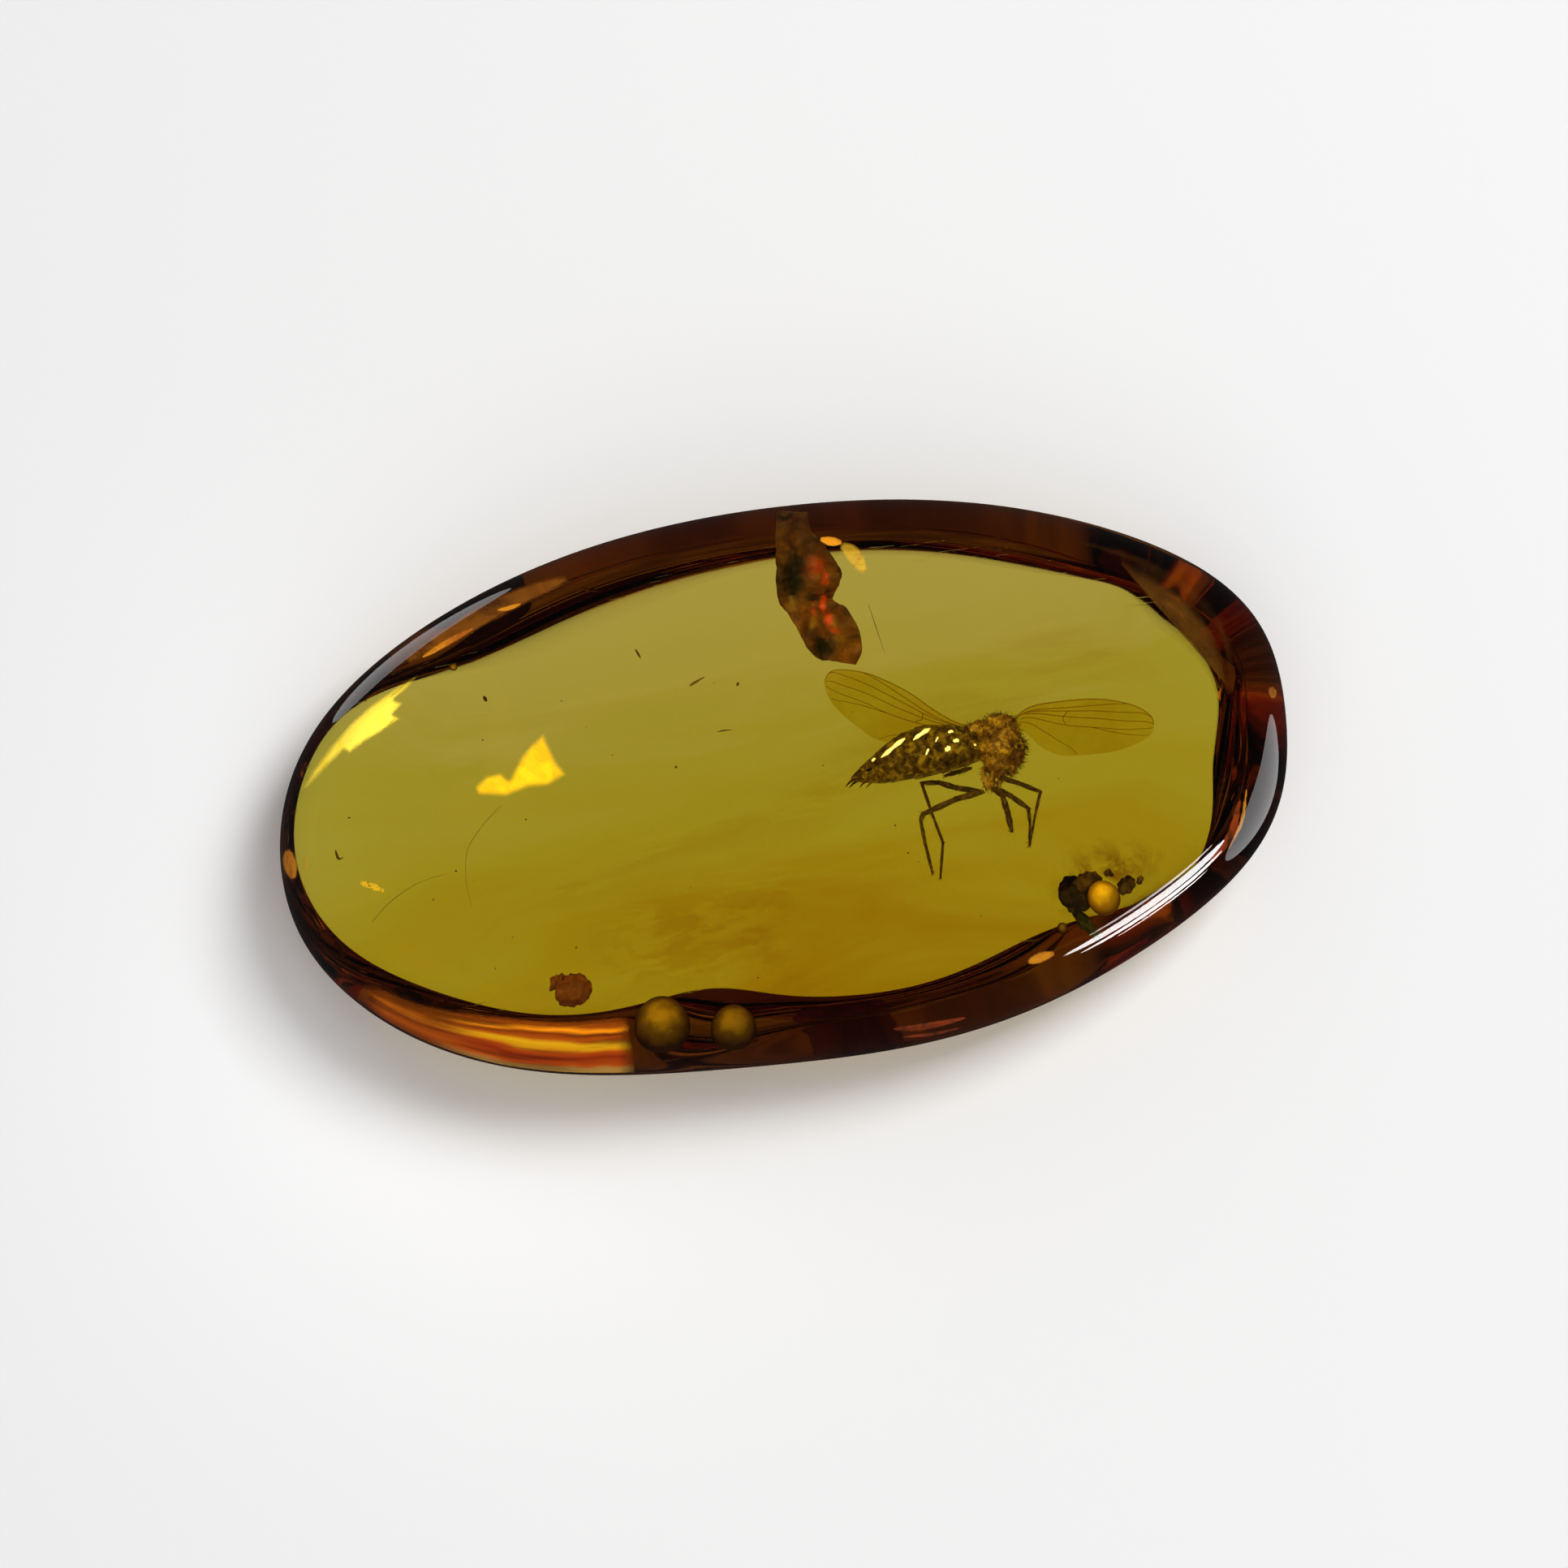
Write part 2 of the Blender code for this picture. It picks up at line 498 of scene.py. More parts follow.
def cuticle_material(name, dark, mid, light, per_mm, roughness):
    """Insect cuticle: mottled, a little glossy, with a fine bump."""
    material, tree, shader = new_material(name, Roughness=roughness, IOR=1.5)
    place = millimetres(tree)
    mottle = noise_value(tree, place, per_mm, detail=6.0, roughness=0.65, distortion=0.4)
    set_colour(tree, shader, colour_ramp(tree, mottle, [(0.30, dark), (0.50, mid), (0.68, light)]))
    add_bump(tree, shader, noise_value(tree, place, per_mm * 3), 0.03)
    return material


WING_STOPS = ((0.40, (0.68, 0.48, 0.010)), (0.60, (0.78, 0.60, 0.030)))


def wing_material():
    """A clear yellow membrane: light goes straight through it and takes its colour."""
    material, tree, shader = straight_through("wing")
    patches = noise_value(tree, millimetres(tree), 0.8, detail=3.0)
    set_colour(tree, shader, colour_ramp(tree, patches, WING_STOPS))
    return material


FLAKE_STOPS = (  # place in the noise, colour of the bark
    (0.34, (0.018, 0.010, 0.001)),
    (0.46, (0.090, 0.030, 0.001)),
    (0.58, (0.160, 0.052, 0.002)),
    (0.70, (0.26, 0.090, 0.004)),
)
FLAKE_BLACK_GREEN = (0.010, 0.012, 0.002, 1)
FLAKE_TAWNY = (0.22, 0.11, 0.005, 1)
FLAKE_GLOWING_RED = (0.55, 0.035, 0.002, 1)


def flake_material():
    """A resin-soaked scrap of bark: brown, black-green in the middle and glowing red along one fold."""
    material, tree, shader = new_material("flake", Roughness=0.35, IOR=1.5)
    place = millimetres(tree)
    colour = colour_ramp(tree, noise_value(tree, place, 1.1, distortion=0.6), FLAKE_STOPS)
    dark, red, tan = split(tree, marked(tree, "zone", "Vector"))
    for share, paint in ((dark, FLAKE_BLACK_GREEN), (tan, FLAKE_TAWNY), (red, FLAKE_GLOWING_RED)):
        colour = mixed(tree, share, colour, paint)
    set_colour(tree, shader, colour)
    add_bump(tree, shader, noise_value(tree, place, 4.0, detail=5.0), 0.08)
    return material


GLINT_FILM_COLOURS = {  # painted glint colours, bright and dull, patches per mm, strength
    "gold": ((0.94, 0.70, 0.020), (0.80, 0.52, 0.012), 1.6, 1.0),
    "pale": ((1.00, 0.86, 0.18), (0.95, 0.76, 0.08), 0.9, 1.0),
    "faint": ((0.85, 0.55, 0.05), (0.70, 0.36, 0.02), 2.0, 0.5),
    "brown": ((0.42, 0.14, 0.005), (0.15, 0.045, 0.002), 0.8, 0.7),
    "umber": ((0.20, 0.075, 0.003), (0.10, 0.034, 0.002), 0.6, 0.55),
    "orange": ((1.00, 0.42, 0.014), (0.62, 0.16, 0.005), 1.6, 1.0),
    "red": ((0.50, 0.060, 0.004), (0.12, 0.018, 0.002), 1.6, 1.0),
}


def glint_film_material(name, bright, dull, per_mm, strength):
    """A gas-filled fracture, a little rippled, whose bright colour is a painted glint."""
    material, tree, shader = new_material(name, Roughness=0.35, IOR=1.5)
    place = millimetres(tree)
    patches = noise_value(tree, place, per_mm, roughness=0.6, distortion=0.6)
    set_colour(tree, shader, colour_ramp(tree, patches, [(0.36, dull), (0.54, bright)]))
    tree.links.new(value_ramp(tree, marked(tree, "cover"), 0.0, 0.6, 0.0, strength), shader.inputs["Alpha"])
    add_bump(tree, shader, noise_value(tree, place, 2.4, detail=3.0, roughness=0.5, distortion=0.8), 0.03)
    return material


BUBBLE_WALLS = {  # painted light colour on the top and painted shade colour at the sides
    "brown": ((0.24, 0.13, 0.006), (0.030, 0.009, 0.001)),
    "golden": ((0.86, 0.50, 0.020), (0.14, 0.055, 0.002)),
}


def bubble_material(name, lit_top_colour, shaded_side_colour):
    """A gas bubble's wall, with painted light on its top, painted shade on its sides and cloudy patches. The
    mesh faces inward.
    """
    material, tree, shader = new_material(name, Roughness=0.6, IOR=1.2, Specular_IOR_Level=0.05)
    clouds = noise_value(tree, millimetres(tree), 2.5, detail=3.0)
    share = calculate(tree, "ADD", marked(tree, "lit_top"), value_ramp(tree, clouds, 0.3, 0.7, -0.10, 0.10))
    middle = tuple((a + 2 * b) / 3 for a, b in zip(lit_top_colour, shaded_side_colour))
    stops = ((0.15, shaded_side_colour), (0.72, middle), (1.0, lit_top_colour))
    set_colour(tree, shader, colour_ramp(tree, share, stops))
    return material


DEBRIS_LOOKS = {  # dark, middle and light colours
    "dark": ((0.008, 0.004, 0.001), (0.030, 0.014, 0.001), (0.09, 0.04, 0.002)),
    "brown": ((0.03, 0.012, 0.001), (0.08, 0.034, 0.001), (0.14, 0.06, 0.003)),
    "olive": ((0.020, 0.016, 0.001), (0.05, 0.045, 0.002), (0.10, 0.09, 0.004)),
    "ruddy": ((0.10, 0.018, 0.001), (0.14, 0.032, 0.001), (0.20, 0.062, 0.002)),
}
SPECK_LOOK = ((0.04, 0.024, 0.002), (0.11, 0.060, 0.003), (0.22, 0.120, 0.008))


def debris_material(name, dark, mid, light):
    material, tree, shader = new_material(name, Roughness=0.7)
    patches = noise_value(tree, millimetres(tree), 6.0, detail=5.0)
    set_colour(tree, shader, colour_ramp(tree, patches, [(0.35, dark), (0.55, mid), (0.70, light)]))
    return material


TINTS = {  # colour, where its clouds start and are full in the noise, clouds per mm, stretch, turn in degrees
    "leaf": ((0.80, 0.58, 0.22), 0.38, 0.60, 1.1, (0.6, 2.4, 1.0), 30),
    "slant": ((0.87, 0.74, 0.40), 0.36, 0.60, 0.35, (0.5, 3.0, 1.0), 24),
    "mottle": ((0.30, 0.12, 0.02), 0.34, 0.58, 1.6, (1.0, 1.0, 1.0), 0),
}


def tint_material(name, colour, low, high, per_mm, stretch, turn):
    """A flow layer of darker resin. Its clouds fade out towards the edges of the sheet."""
    material, tree, shader = straight_through(name)
    place = turned(tree, millimetres(tree), stretch, turn)
    clouds = noise_value(tree, place, per_mm, detail=6.0, roughness=0.6, distortion=0.5)
    cover = calculate(tree, "MULTIPLY", value_ramp(tree, clouds, low, high), marked(tree, "cover"))
    set_colour(tree, shader, colour_ramp(tree, cover, [(0.0, (1.0, 1.0, 1.0)), (1.0, colour)]))
    return material


FLOW_LOW = -6.0  # mm from the stone's middle line, towards the viewer
FLOW_HIGH = 6.0
FLOW_BANDS = 2.6  # mm that the bands wander by
FLOW_STOPS = (  # place from FLOW_LOW to FLOW_HIGH, colour
    (0.07, (0.50, 0.19, 0.0001)),
    (0.15, (0.63, 0.29, 0.0003)),
    (0.28, (0.73, 0.53, 0.007)),
    (0.45, (0.78, 0.72, 0.060)),
    (0.63, (0.80, 0.81, 0.180)),
    (0.78, (0.96, 0.94, 0.780)),
    (0.92, (1.00, 1.00, 1.000)),
)


def flow_material():
    """The resin's own colour: pale at the far side and a deeper yellow towards the viewer, in faint bands."""
    material, tree, shader = straight_through("flow")
    place = millimetres(tree)
    stretched = turned(tree, place, (0.22, 1.5, 1.0), turn=-14)
    wander = noise_value(tree, stretched, 0.5, detail=5.0, distortion=0.6)
    bands = value_ramp(tree, wander, 0.2, 0.8, -FLOW_BANDS / 2, FLOW_BANDS / 2)
    across = calculate(tree, "ADD", split(tree, place)["Y"], bands)
    share = node(tree, "MapRange", {"Value": across, "From Min": FLOW_LOW, "From Max": FLOW_HIGH})
    set_colour(tree, shader, colour_ramp(tree, share.outputs["Result"], FLOW_STOPS))
    return material


# ----
# The fly. It is modelled in millimetres in its own frame, seen from its side: x towards the head,
# y up its back, z towards the viewer, with the origin in the middle of the thorax.

FLY_PX = (1228, 930)
FLY_DEPTH = 3.0
FLY_SCALE = 0.972  # the resin enlarges what lies in it a little
FLY_SEED = 11

ABDOMEN = (  # (x, middle y, half height) of sections from the tail to the waist
    (-4.28, -0.70, 0.05),
    (-4.05, -0.61, 0.20),
    (-3.70, -0.46, 0.38),
    (-3.30, -0.28, 0.56),
    (-2.80, -0.06, 0.70),
    (-2.10, 0.11, 0.77),
    (-1.40, 0.20, 0.69),
    (-0.85, 0.26, 0.58),
    (-0.45, 0.30, 0.46),
)
ABDOMEN_DEPTH = 0.80  # half depth as a share of half height
ABDOMEN_RINGS = 7
ABDOMEN_STEPS = 112
ABDOMEN_SIDES = 40

THORAX_BLOBS = (  # centre, radii, turn in degrees
    ((0.02, 0.40, 0.00), (0.72, 0.74, 0.64), 0),
    ((0.16, 0.80, 0.00), (0.54, 0.42, 0.48), -12),
    ((-0.52, 0.76, 0.00), (0.42, 0.26, 0.34), 8),
    ((-0.78, 0.44, 0.00), (0.34, 0.40, 0.38), 0),
    ((0.04, -0.14, 0.00), (0.44, 0.52, 0.42), 4),
    ((-0.36, -0.72, 0.16), (0.095, 0.36, 0.11), 12),
    ((-0.13, -0.78, 0.20), (0.090, 0.34, 0.11), 0),
    ((0.12, -0.72, 0.10), (0.095, 0.36, 0.12), -12),
)
HEAD_CENTRE = Vector((0.55, 0.10, 0.02))
HEAD_BLOBS = (  # offset from the head's centre, radii, turn in degrees
    ((0, 0, 0), (0.30, 0.52, 0.36), -8),
    ((-0.14, 0.16, 0), (0.26, 0.34, 0.30), 0),
    ((-0.12, -0.52, 0), (0.12, 0.24, 0.12), 8),
)
EYE = (0.05, -0.10, 0.20)  # from the head's centre
EYE_RADII = (0.22, 0.34, 0.20)
FEELER_ROOT = (0.26, 0.10, 0.07)  # from the head's centre
FEELER_BEND = (0.08, 0.04, 0.03)  # from the root
FEELER_TIP = (0.13, -0.02, 0.06)
FEELER_RADII = (0.028, 0.030, 0.012)
BALANCER_ROOT = (-0.62, 0.30, 0.34)
BALANCER_STALK = (-0.14, 0.10, 0.12)  # from the root
BALANCER_KNOB = (-0.17, 0.12, 0.15)
BALANCER_RADII = (0.055, 0.045, 0.045)
BRISTLES = {  # how many, their length and radius, and the way they lean
    "thorax": (520, 0.16, 0.010, (0.1, 0.1, 0.1)),
    "abdomen": (260, 0.13, 0.008, (-0.9, 0.0, 0.0)),
    "head": (260, 0.18, 0.010, (0.5, 0.0, 0.1)),
    "leg": (70, 0.09, 0.006, (0.0, -0.5, 0.0)),
}
TAIL_ENDS = ((-4.46, -0.95, 0.03), (-4.36, -0.98, -0.06), (-4.05, -0.98, 0.10), (-3.86, -0.99, 0.06))
TAIL_RUN = 0.26  # each lobe of the tail starts this far ahead of its end
TAIL_RISE = 0.22  # and this far above it

LEGS = (  # name, (femur, tibia and tarsus points), their radii
    ("fore_near", ((0.10, -0.70, 0.30), (0.62, -0.86, 0.40), (1.29, -1.12, 0.42), (1.13, -1.80, 0.40),
                   (0.98, -2.60, 0.34)), (0.055, 0.050, 0.036, 0.027, 0.022)),
    ("fore_far", ((-0.05, -0.98, 0.10), (0.41, -1.19, 0.02), (0.93, -1.53, -0.10), (0.98, -2.00, -0.14),
                  (0.95, -2.58, -0.16)), (0.060, 0.058, 0.040, 0.030, 0.024)),
    ("middle_near", ((-0.12, -1.00, 0.30), (0.17, -1.24, 0.44), (0.32, -1.74, 0.52), (0.43, -2.26, 0.50)),
     (0.050, 0.062, 0.066, 0.040)),
    ("middle_far", ((-0.74, -0.36, -0.20), (-1.10, -0.44, -0.40), (-1.52, -0.55, -0.48)),
     (0.030, 0.050, 0.026)),
    ("hind_near", ((-0.38, -1.10, 0.26), (-1.19, -1.34, 0.42), (-2.18, -1.80, 0.50), (-2.25, -1.98, 0.50),
                   (-2.12, -2.66, 0.48), (-1.91, -3.50, 0.44)), (0.050, 0.064, 0.052, 0.040, 0.036, 0.028)),
    ("hind_far", ((-0.46, -1.06, -0.10), (-1.19, -0.93, -0.26), (-1.72, -0.77, -0.34), (-2.22, -0.78, -0.38),
                  (-1.92, -1.65, -0.40), (-1.60, -2.50, -0.40), (-1.68, -3.50, -0.42)),
     (0.056, 0.060, 0.052, 0.036, 0.030, 0.032, 0.024)),
)
LEG_STOUTNESS = 1.4

WINGS = (  # name, leading edge, trailing edge, both from root to tip, z of the root and the tip
    ("left", ((-0.30, 0.72), (-1.15, 0.98), (-1.81, 1.34), (-2.65, 1.91), (-3.70, 2.39), (-4.50, 2.53),
              (-4.90, 2.46), (-5.08, 2.15)),
     ((-0.45, 0.50), (-1.20, 0.42), (-2.30, 0.35), (-3.41, 0.45), (-4.10, 0.86), (-4.62, 1.30),
      (-4.94, 1.72), (-5.08, 2.15)),
     (-0.30, -0.75)),
    ("right", ((0.42, 0.98), (1.00, 1.41), (1.91, 1.58), (2.96, 1.66), (3.75, 1.56), (4.28, 1.38),
               (4.60, 1.13), (4.68, 0.86)),
     ((0.42, 0.82), (0.90, 0.60), (1.34, 0.21), (1.91, -0.03), (2.82, 0.00), (3.60, 0.12),
      (4.28, 0.38), (4.60, 0.62), (4.68, 0.86)),
     (0.10, 0.35)),
)
VEINS = (  # radius, then (share of the span, share from the leading to the trailing edge) points
    (0.016, ((0.00, 0.00), (0.30, 0.00), (0.60, 0.00), (0.97, 0.00))),
    (0.013, ((0.02, 0.12), (0.22, 0.14), (0.42, 0.12), (0.60, 0.01))),
    (0.012, ((0.10, 0.16), (0.35, 0.21), (0.60, 0.19), (0.86, 0.03))),
    (0.012, ((0.12, 0.22), (0.38, 0.33), (0.68, 0.37), (0.96, 0.33))),
    (0.011, ((0.08, 0.34), (0.34, 0.47), (0.62, 0.55), (0.93, 0.66))),
    (0.010, ((0.46, 0.51), (0.66, 0.68), (0.82, 0.90))),
    (0.010, ((0.06, 0.50), (0.22, 0.64), (0.38, 0.82), (0.44, 0.97))),
    (0.013, ((0.33, 0.21), (0.32, 0.34), (0.34, 0.46))),
)
WING_SPAN_STEPS = 48
WING_CHORD_STEPS = 14
WING_CAMBER = 0.10
WING_RIPPLE = 0.012
WING_RIPPLE_RADIANS = 22  # from edge to edge

PAINTED_HIGHLIGHT_STREAKS = (  # gas films painted pale as highlights on the abdomen: ends in the fly's frame, and width
    ((-3.40, -0.14), (-2.70, 0.42), 0.082),
    ((-2.46, 0.36), (-1.96, 0.74), 0.082),
    ((-1.52, 0.04), (-1.36, 0.16), 0.088),
    ((-1.28, 0.32), (-1.12, 0.38), 0.068),
    ((-1.42, 0.60), (-1.28, 0.66), 0.061),
    ((-3.68, -0.24), (-3.58, -0.15), 0.048),
    ((-2.10, -0.10), (-2.00, 0.10), 0.041),
    ((-1.80, 0.30), (-1.72, 0.46), 0.034),
    ((-0.66, 0.22), (-0.60, 0.26), 0.041),
)
FILM_SWELL = (0.2, 0.9, 0.7, 1.0, 0.3)  # a gas film's radius along it, as a share of its width
TAIL_PATCH = ((-3.63, -0.45, 0.16), (0.28, 0.10, 0.16), 18)  # centre, radii, turn of the glossy black patch


def fly_matrix():
    """From the fly's frame, in millimetres, to the stone's, in metres."""
    up_face = Vector((0, 0, 1)).cross(RIGHT)
    turn = Matrix((RIGHT, up_face, (0, 0, 1))).transposed().to_4x4()
    return Matrix.Translation(sealed(*FLY_PX, FLY_DEPTH)) @ turn @ Matrix.Scale(MM * FLY_SCALE, 4)


def add_fly_piece(name, shell, material):
    return add_piece(name, [FLY_FRAME @ v for v in shell.verts], shell.faces, material)


def abdomen_section(share):
    """(x, middle y, half height) at a share of the way from the tail to the waist."""
    return [blend_values([section[k] for section in ABDOMEN], share) for k in range(3)]


def blob_shell(blobs, centre=(0, 0, 0)):
    """Ellipsoids given as (offset from the centre, radii, turn in degrees)."""
    shell = Shell()
    for offset, radii, turn in blobs:
        shell.ball(Vector(centre) + Vector(offset), radii, turn)
    return shell


def abdomen_shell():
    """The tapering abdomen, each ring of it overlapping the next towards the tail."""
    shell = Shell()
    rings = []
    turns = [2 * math.pi * k / ABDOMEN_SIDES for k in range(ABDOMEN_SIDES)]
    for i in range(ABDOMEN_STEPS + 1):
        x, middle, half = abdomen_section(i / ABDOMEN_STEPS)
        ring_share = (i / ABDOMEN_STEPS * ABDOMEN_RINGS) % 1.0
        half *= 1 + 0.035 * (1 - ring_share) ** 3 - 0.02 * ring_share ** 6
        rings.append([Vector((x, middle + half * math.cos(t), half * ABDOMEN_DEPTH * math.sin(t)))
                      for t in turns])
    shell.loft(list(reversed(rings)))
    return shell


def abdomen_front(x, y):
    """The z of the abdomen's near side at a point of the side view."""
    xs = [section[0] for section in ABDOMEN]
    i = max(k for k in range(len(xs) - 1) if xs[k] <= x)
    share = (i + (x - xs[i]) / (xs[i + 1] - xs[i])) / (len(xs) - 1)
    _, middle, half = abdomen_section(share)
    return half * ABDOMEN_DEPTH * math.sqrt(max(0.0, 1 - ((y - middle) / half) ** 2))


def surface_spots(shell, count, generator):
    """Random (point, outward normal) pairs on a shell."""
    spots = []
    for _ in range(count):
        face = generator.choice(shell.faces)
        a, b, c = (shell.verts[i] for i in face[:3])
        spots.append(((a + b + c) / 3, (b - a).cross(c - a).normalized()))
    return spots


def add_bristles(shell, spots, length, radius, lean, generator):
    """Fine tapering bristles that stand out of the spots and lean one way."""
    for point, normal in spots:
        jitter = Vector([generator.uniform(-0.35, 0.35) for _ in range(3)])
        way = (normal + Vector(lean) + jitter).normalized()
        reach = length * generator.uniform(0.5, 1.2)
        bend = normal * reach * 0.12
        path = [point, point + way * reach * 0.5 + bend, point + way * reach]
        shell.tube(path, (radius, radius * 0.7, radius * 0.15), sides=4)


def leg_shell(points, radii):
    """One leg: a smooth tapering limb with a slight knob at each joint and two claws."""
    shell = Shell()
    for i in range(len(points) - 1):
        ends = Vector(points[i]), Vector(points[i + 1])
        middle = (ends[0] + ends[1]) / 2
        swell = max(radii[i], radii[i + 1]) * 1.06
        path = smooth_path((ends[0], middle, ends[1]), 6)
        shell.tube(path, (radii[i] * 0.85, swell, radii[i + 1] * 0.9), sides=10)
        shell.ball(ends[1], [radii[i + 1] * 1.05] * 3, detail=2)
    along = (ends[1] - ends[0]).normalized()
    add_claws(shell, ends[1], along)
    return shell


def add_claws(shell, tip, along):
    """Two small claws at a foot."""
    side = along.orthogonal().normalized()
    for turn in (-1, 1):
        shell.tube([tip, tip + along * 0.05 + side * 0.04 * turn, tip + along * 0.08 + side * 0.03 * turn],
                   (0.014, 0.010, 0.003), sides=5)


def tail_shell():
    """The short pointed lobes at the end of the abdomen."""
    shell = Shell()
    for end in TAIL_ENDS:
        base = Vector((end[0] + TAIL_RUN, end[1] + TAIL_RISE, end[2]))
        shell.tube([base, (base + Vector(end)) / 2 + Vector((0, 0.03, 0)), end], (0.045, 0.034, 0.010))
    return shell


def highlight_film_shell():
    """The pale gas films on the abdomen's near side, whose cream colour is a painted highlight."""
    shell = Shell()
    for (x0, y0), (x1, y1), width in PAINTED_HIGHLIGHT_STREAKS:
        path = [Vector((x0 + (x1 - x0) * t, y0 + (y1 - y0) * t, 0)) for t in (i / 8 for i in range(9))]
        for p in path:
            p.z = abdomen_front(p.x, p.y)
        shell.tube(path, [width * share for share in FILM_SWELL], sides=12)
    return shell.roughen(size=0.09, height=0.03, seed=5)


def mirrored(offset, side):
    """An offset to the fly's near side, or to its far side where side is -1."""
    x, y, z = offset
    return Vector((x, y, z * side))


def eye_shell():
    shell = Shell()
    for side in (-1, 1):
        shell.ball(HEAD_CENTRE + mirrored(EYE, side), EYE_RADII, -8, detail=4)
    return shell.roughen(size=0.10, height=0.03, seed=4)


def feeler_shell():
    shell = Shell()
    for side in (-1, 1):
        root = HEAD_CENTRE + mirrored(FEELER_ROOT, side)
        path = [root, root + mirrored(FEELER_BEND, side), root + mirrored(FEELER_TIP, side)]
        shell.tube(path, FEELER_RADII)
    return shell


def balancer_shell():
    """The two knobbed stalks behind the wings."""
    shell = Shell()
    for side in (-1, 1):
        root = mirrored(BALANCER_ROOT, side)
        shell.tube([root, root + mirrored(BALANCER_STALK, side)], (0.014, 0.014), sides=6)
        shell.ball(root + mirrored(BALANCER_KNOB, side), BALANCER_RADII, detail=2)
    return shell


def wing_point(wing, span, chord):
    """A point of a wing's sheet, with a slight camber."""
    _, lead, trail, (root_z, tip_z) = wing
    edges = [blend_values(edge, span) for edge in (lead, trail)]
    flat = edges[0].lerp(edges[1], chord)
    camber = WING_CAMBER * math.sin(math.pi * chord) * math.sin(math.pi * min(1, span * 1.05))
    ripple = WING_RIPPLE * math.sin(chord * WING_RIPPLE_RADIANS) * span
    return Vector((flat.x, flat.y, root_z + (tip_z - root_z) * span + camber + ripple))


def smooth_wing(wing):
    name, lead, trail, heights = wing
    return name, smooth_path(lead, 12), smooth_path(trail, 12), heights


def make_wing(wing, membrane, vein_material):
    wing = smooth_wing(wing)
    sheet = Shell()
    sheet.add([wing_point(wing, i / WING_SPAN_STEPS, j / WING_CHORD_STEPS)
               for i in range(WING_SPAN_STEPS + 1) for j in range(WING_CHORD_STEPS + 1)],
              grid_faces(WING_SPAN_STEPS, WING_CHORD_STEPS))
    add_fly_piece(f"fly_wing_{wing[0]}", sheet, membrane)
    veins = Shell()
    for radius, points in VEINS:
        path = [wing_point(wing, *p[:2]) for p in smooth_path(points, 10)]
        veins.tube(path, (radius * 1.5, radius), sides=6)
    add_fly_piece(f"fly_wing_veins_{wing[0]}", veins, vein_material)


def make_fly():
    """The whole fly. Its bristles are gathered into one piece while its body is made."""
    generator = random.Random(FLY_SEED)
    cuticle = material_set(cuticle_material, "cuticle", CUTICLES)
    # Pale cream gas films on the abdomen: painted highlights.
    painted_highlight = new_material("painted_highlight_film", Base_Color=(1.0, 0.98, 0.80, 1), Roughness=0.4)[0]
    black = new_material("tail_black", Base_Color=(0.004, 0.004, 0.001, 1), Roughness=0.15)[0]
    bristles = Shell()

    def add_hairy(name, shell, kind, part):
        add_fly_piece(name, shell, cuticle[kind])
        count, length, radius, lean = BRISTLES[part]
        add_bristles(bristles, surface_spots(shell, count, generator), length, radius, lean, generator)

    thorax = blob_shell(THORAX_BLOBS).fuse(voxel=0.035)
    add_hairy("fly_thorax", thorax.roughen(size=0.16, height=0.08, seed=3), "golden", "thorax")
    abdomen = abdomen_shell()
    add_hairy("fly_abdomen", abdomen.roughen(size=0.12, height=0.018, seed=7), "dark", "abdomen")
    add_fly_piece("fly_tail", tail_shell(), cuticle["dark"])
    add_fly_piece("fly_tail_patch", blob_shell([TAIL_PATCH]), black)
    add_fly_piece("fly_highlight_films", highlight_film_shell(), painted_highlight)
    head = blob_shell(HEAD_BLOBS, HEAD_CENTRE).fuse(voxel=0.03)
    add_hairy("fly_head", head.roughen(size=0.14, height=0.06, seed=9), "golden", "head")
    add_fly_piece("fly_eyes", eye_shell(), cuticle["eye"])
    add_fly_piece("fly_feelers", feeler_shell(), cuticle["leg"])
    for name, points, radii in LEGS:
        leg = leg_shell(points, [radius * LEG_STOUTNESS for radius in radii])
        add_hairy(f"fly_leg_{name}", leg, "leg", "leg")
    membrane = wing_material()
    vein = straight_through("wing_vein", Base_Color=(0.60, 0.41, 0.02, 1))[0]
    for wing in WINGS:
        make_wing(wing, membrane, vein)
    add_fly_piece("fly_balancers", balancer_shell(), cuticle["golden"])
    add_fly_piece("fly_bristles", bristles, cuticle["hair"])


# ----
# Sheets in the resin, given by their outline in the photograph

def sheet_points(outline, cuts):
    """A filled outline, in pixels, cut into a fine net: (points, faces, is each point on the edge)."""
    net = bmesh.new()
    corners = [net.verts.new((x, -y, 0)) for x, y in outline]
    net.faces.new(corners)
    bmesh.ops.triangulate(net, faces=net.faces)
    for _ in range(cuts):
        bmesh.ops.subdivide_edges(net, edges=net.edges, cuts=1, use_grid_fill=True)
    points = [(v.co.x, -v.co.y) for v in net.verts]
    edge = [v.is_boundary for v in net.verts]
    faces = [[v.index for v in f.verts] for f in net.faces]
    net.free()
    return points, faces, edge


def make_sheet(name, outline, place, material, relief, relief_px, cuts=4, seed=0):
    """A thin sheet that shows inside the outline. place(px, py, lift) gives its points in the resin.

    It waves by the relief in millimetres, and its mark "cover" rises from 0 at its edge to 1 in its middle.
    """
    points, faces, edge = sheet_points(outline, cuts)
    verts = [place(px, py, noise.noise(Vector((px / relief_px, py / relief_px, seed))) * relief)
             for px, py in points]
    piece = add_piece(name, verts, faces, material)
    rim = [Vector(p) for p, is_edge in zip(points, edge) if is_edge]
    gaps = [min((Vector(p) - r).length for r in rim) for p in points]
    full = max(gaps) * 0.7
    mark_points(piece, "cover", [min(1.0, gap / full) for gap in gaps])


def level(height):
    """A placing for make_sheet: a level sheet at a height in millimetres."""
    return lambda px, py, lift: sealed_level(px, py, height + lift)


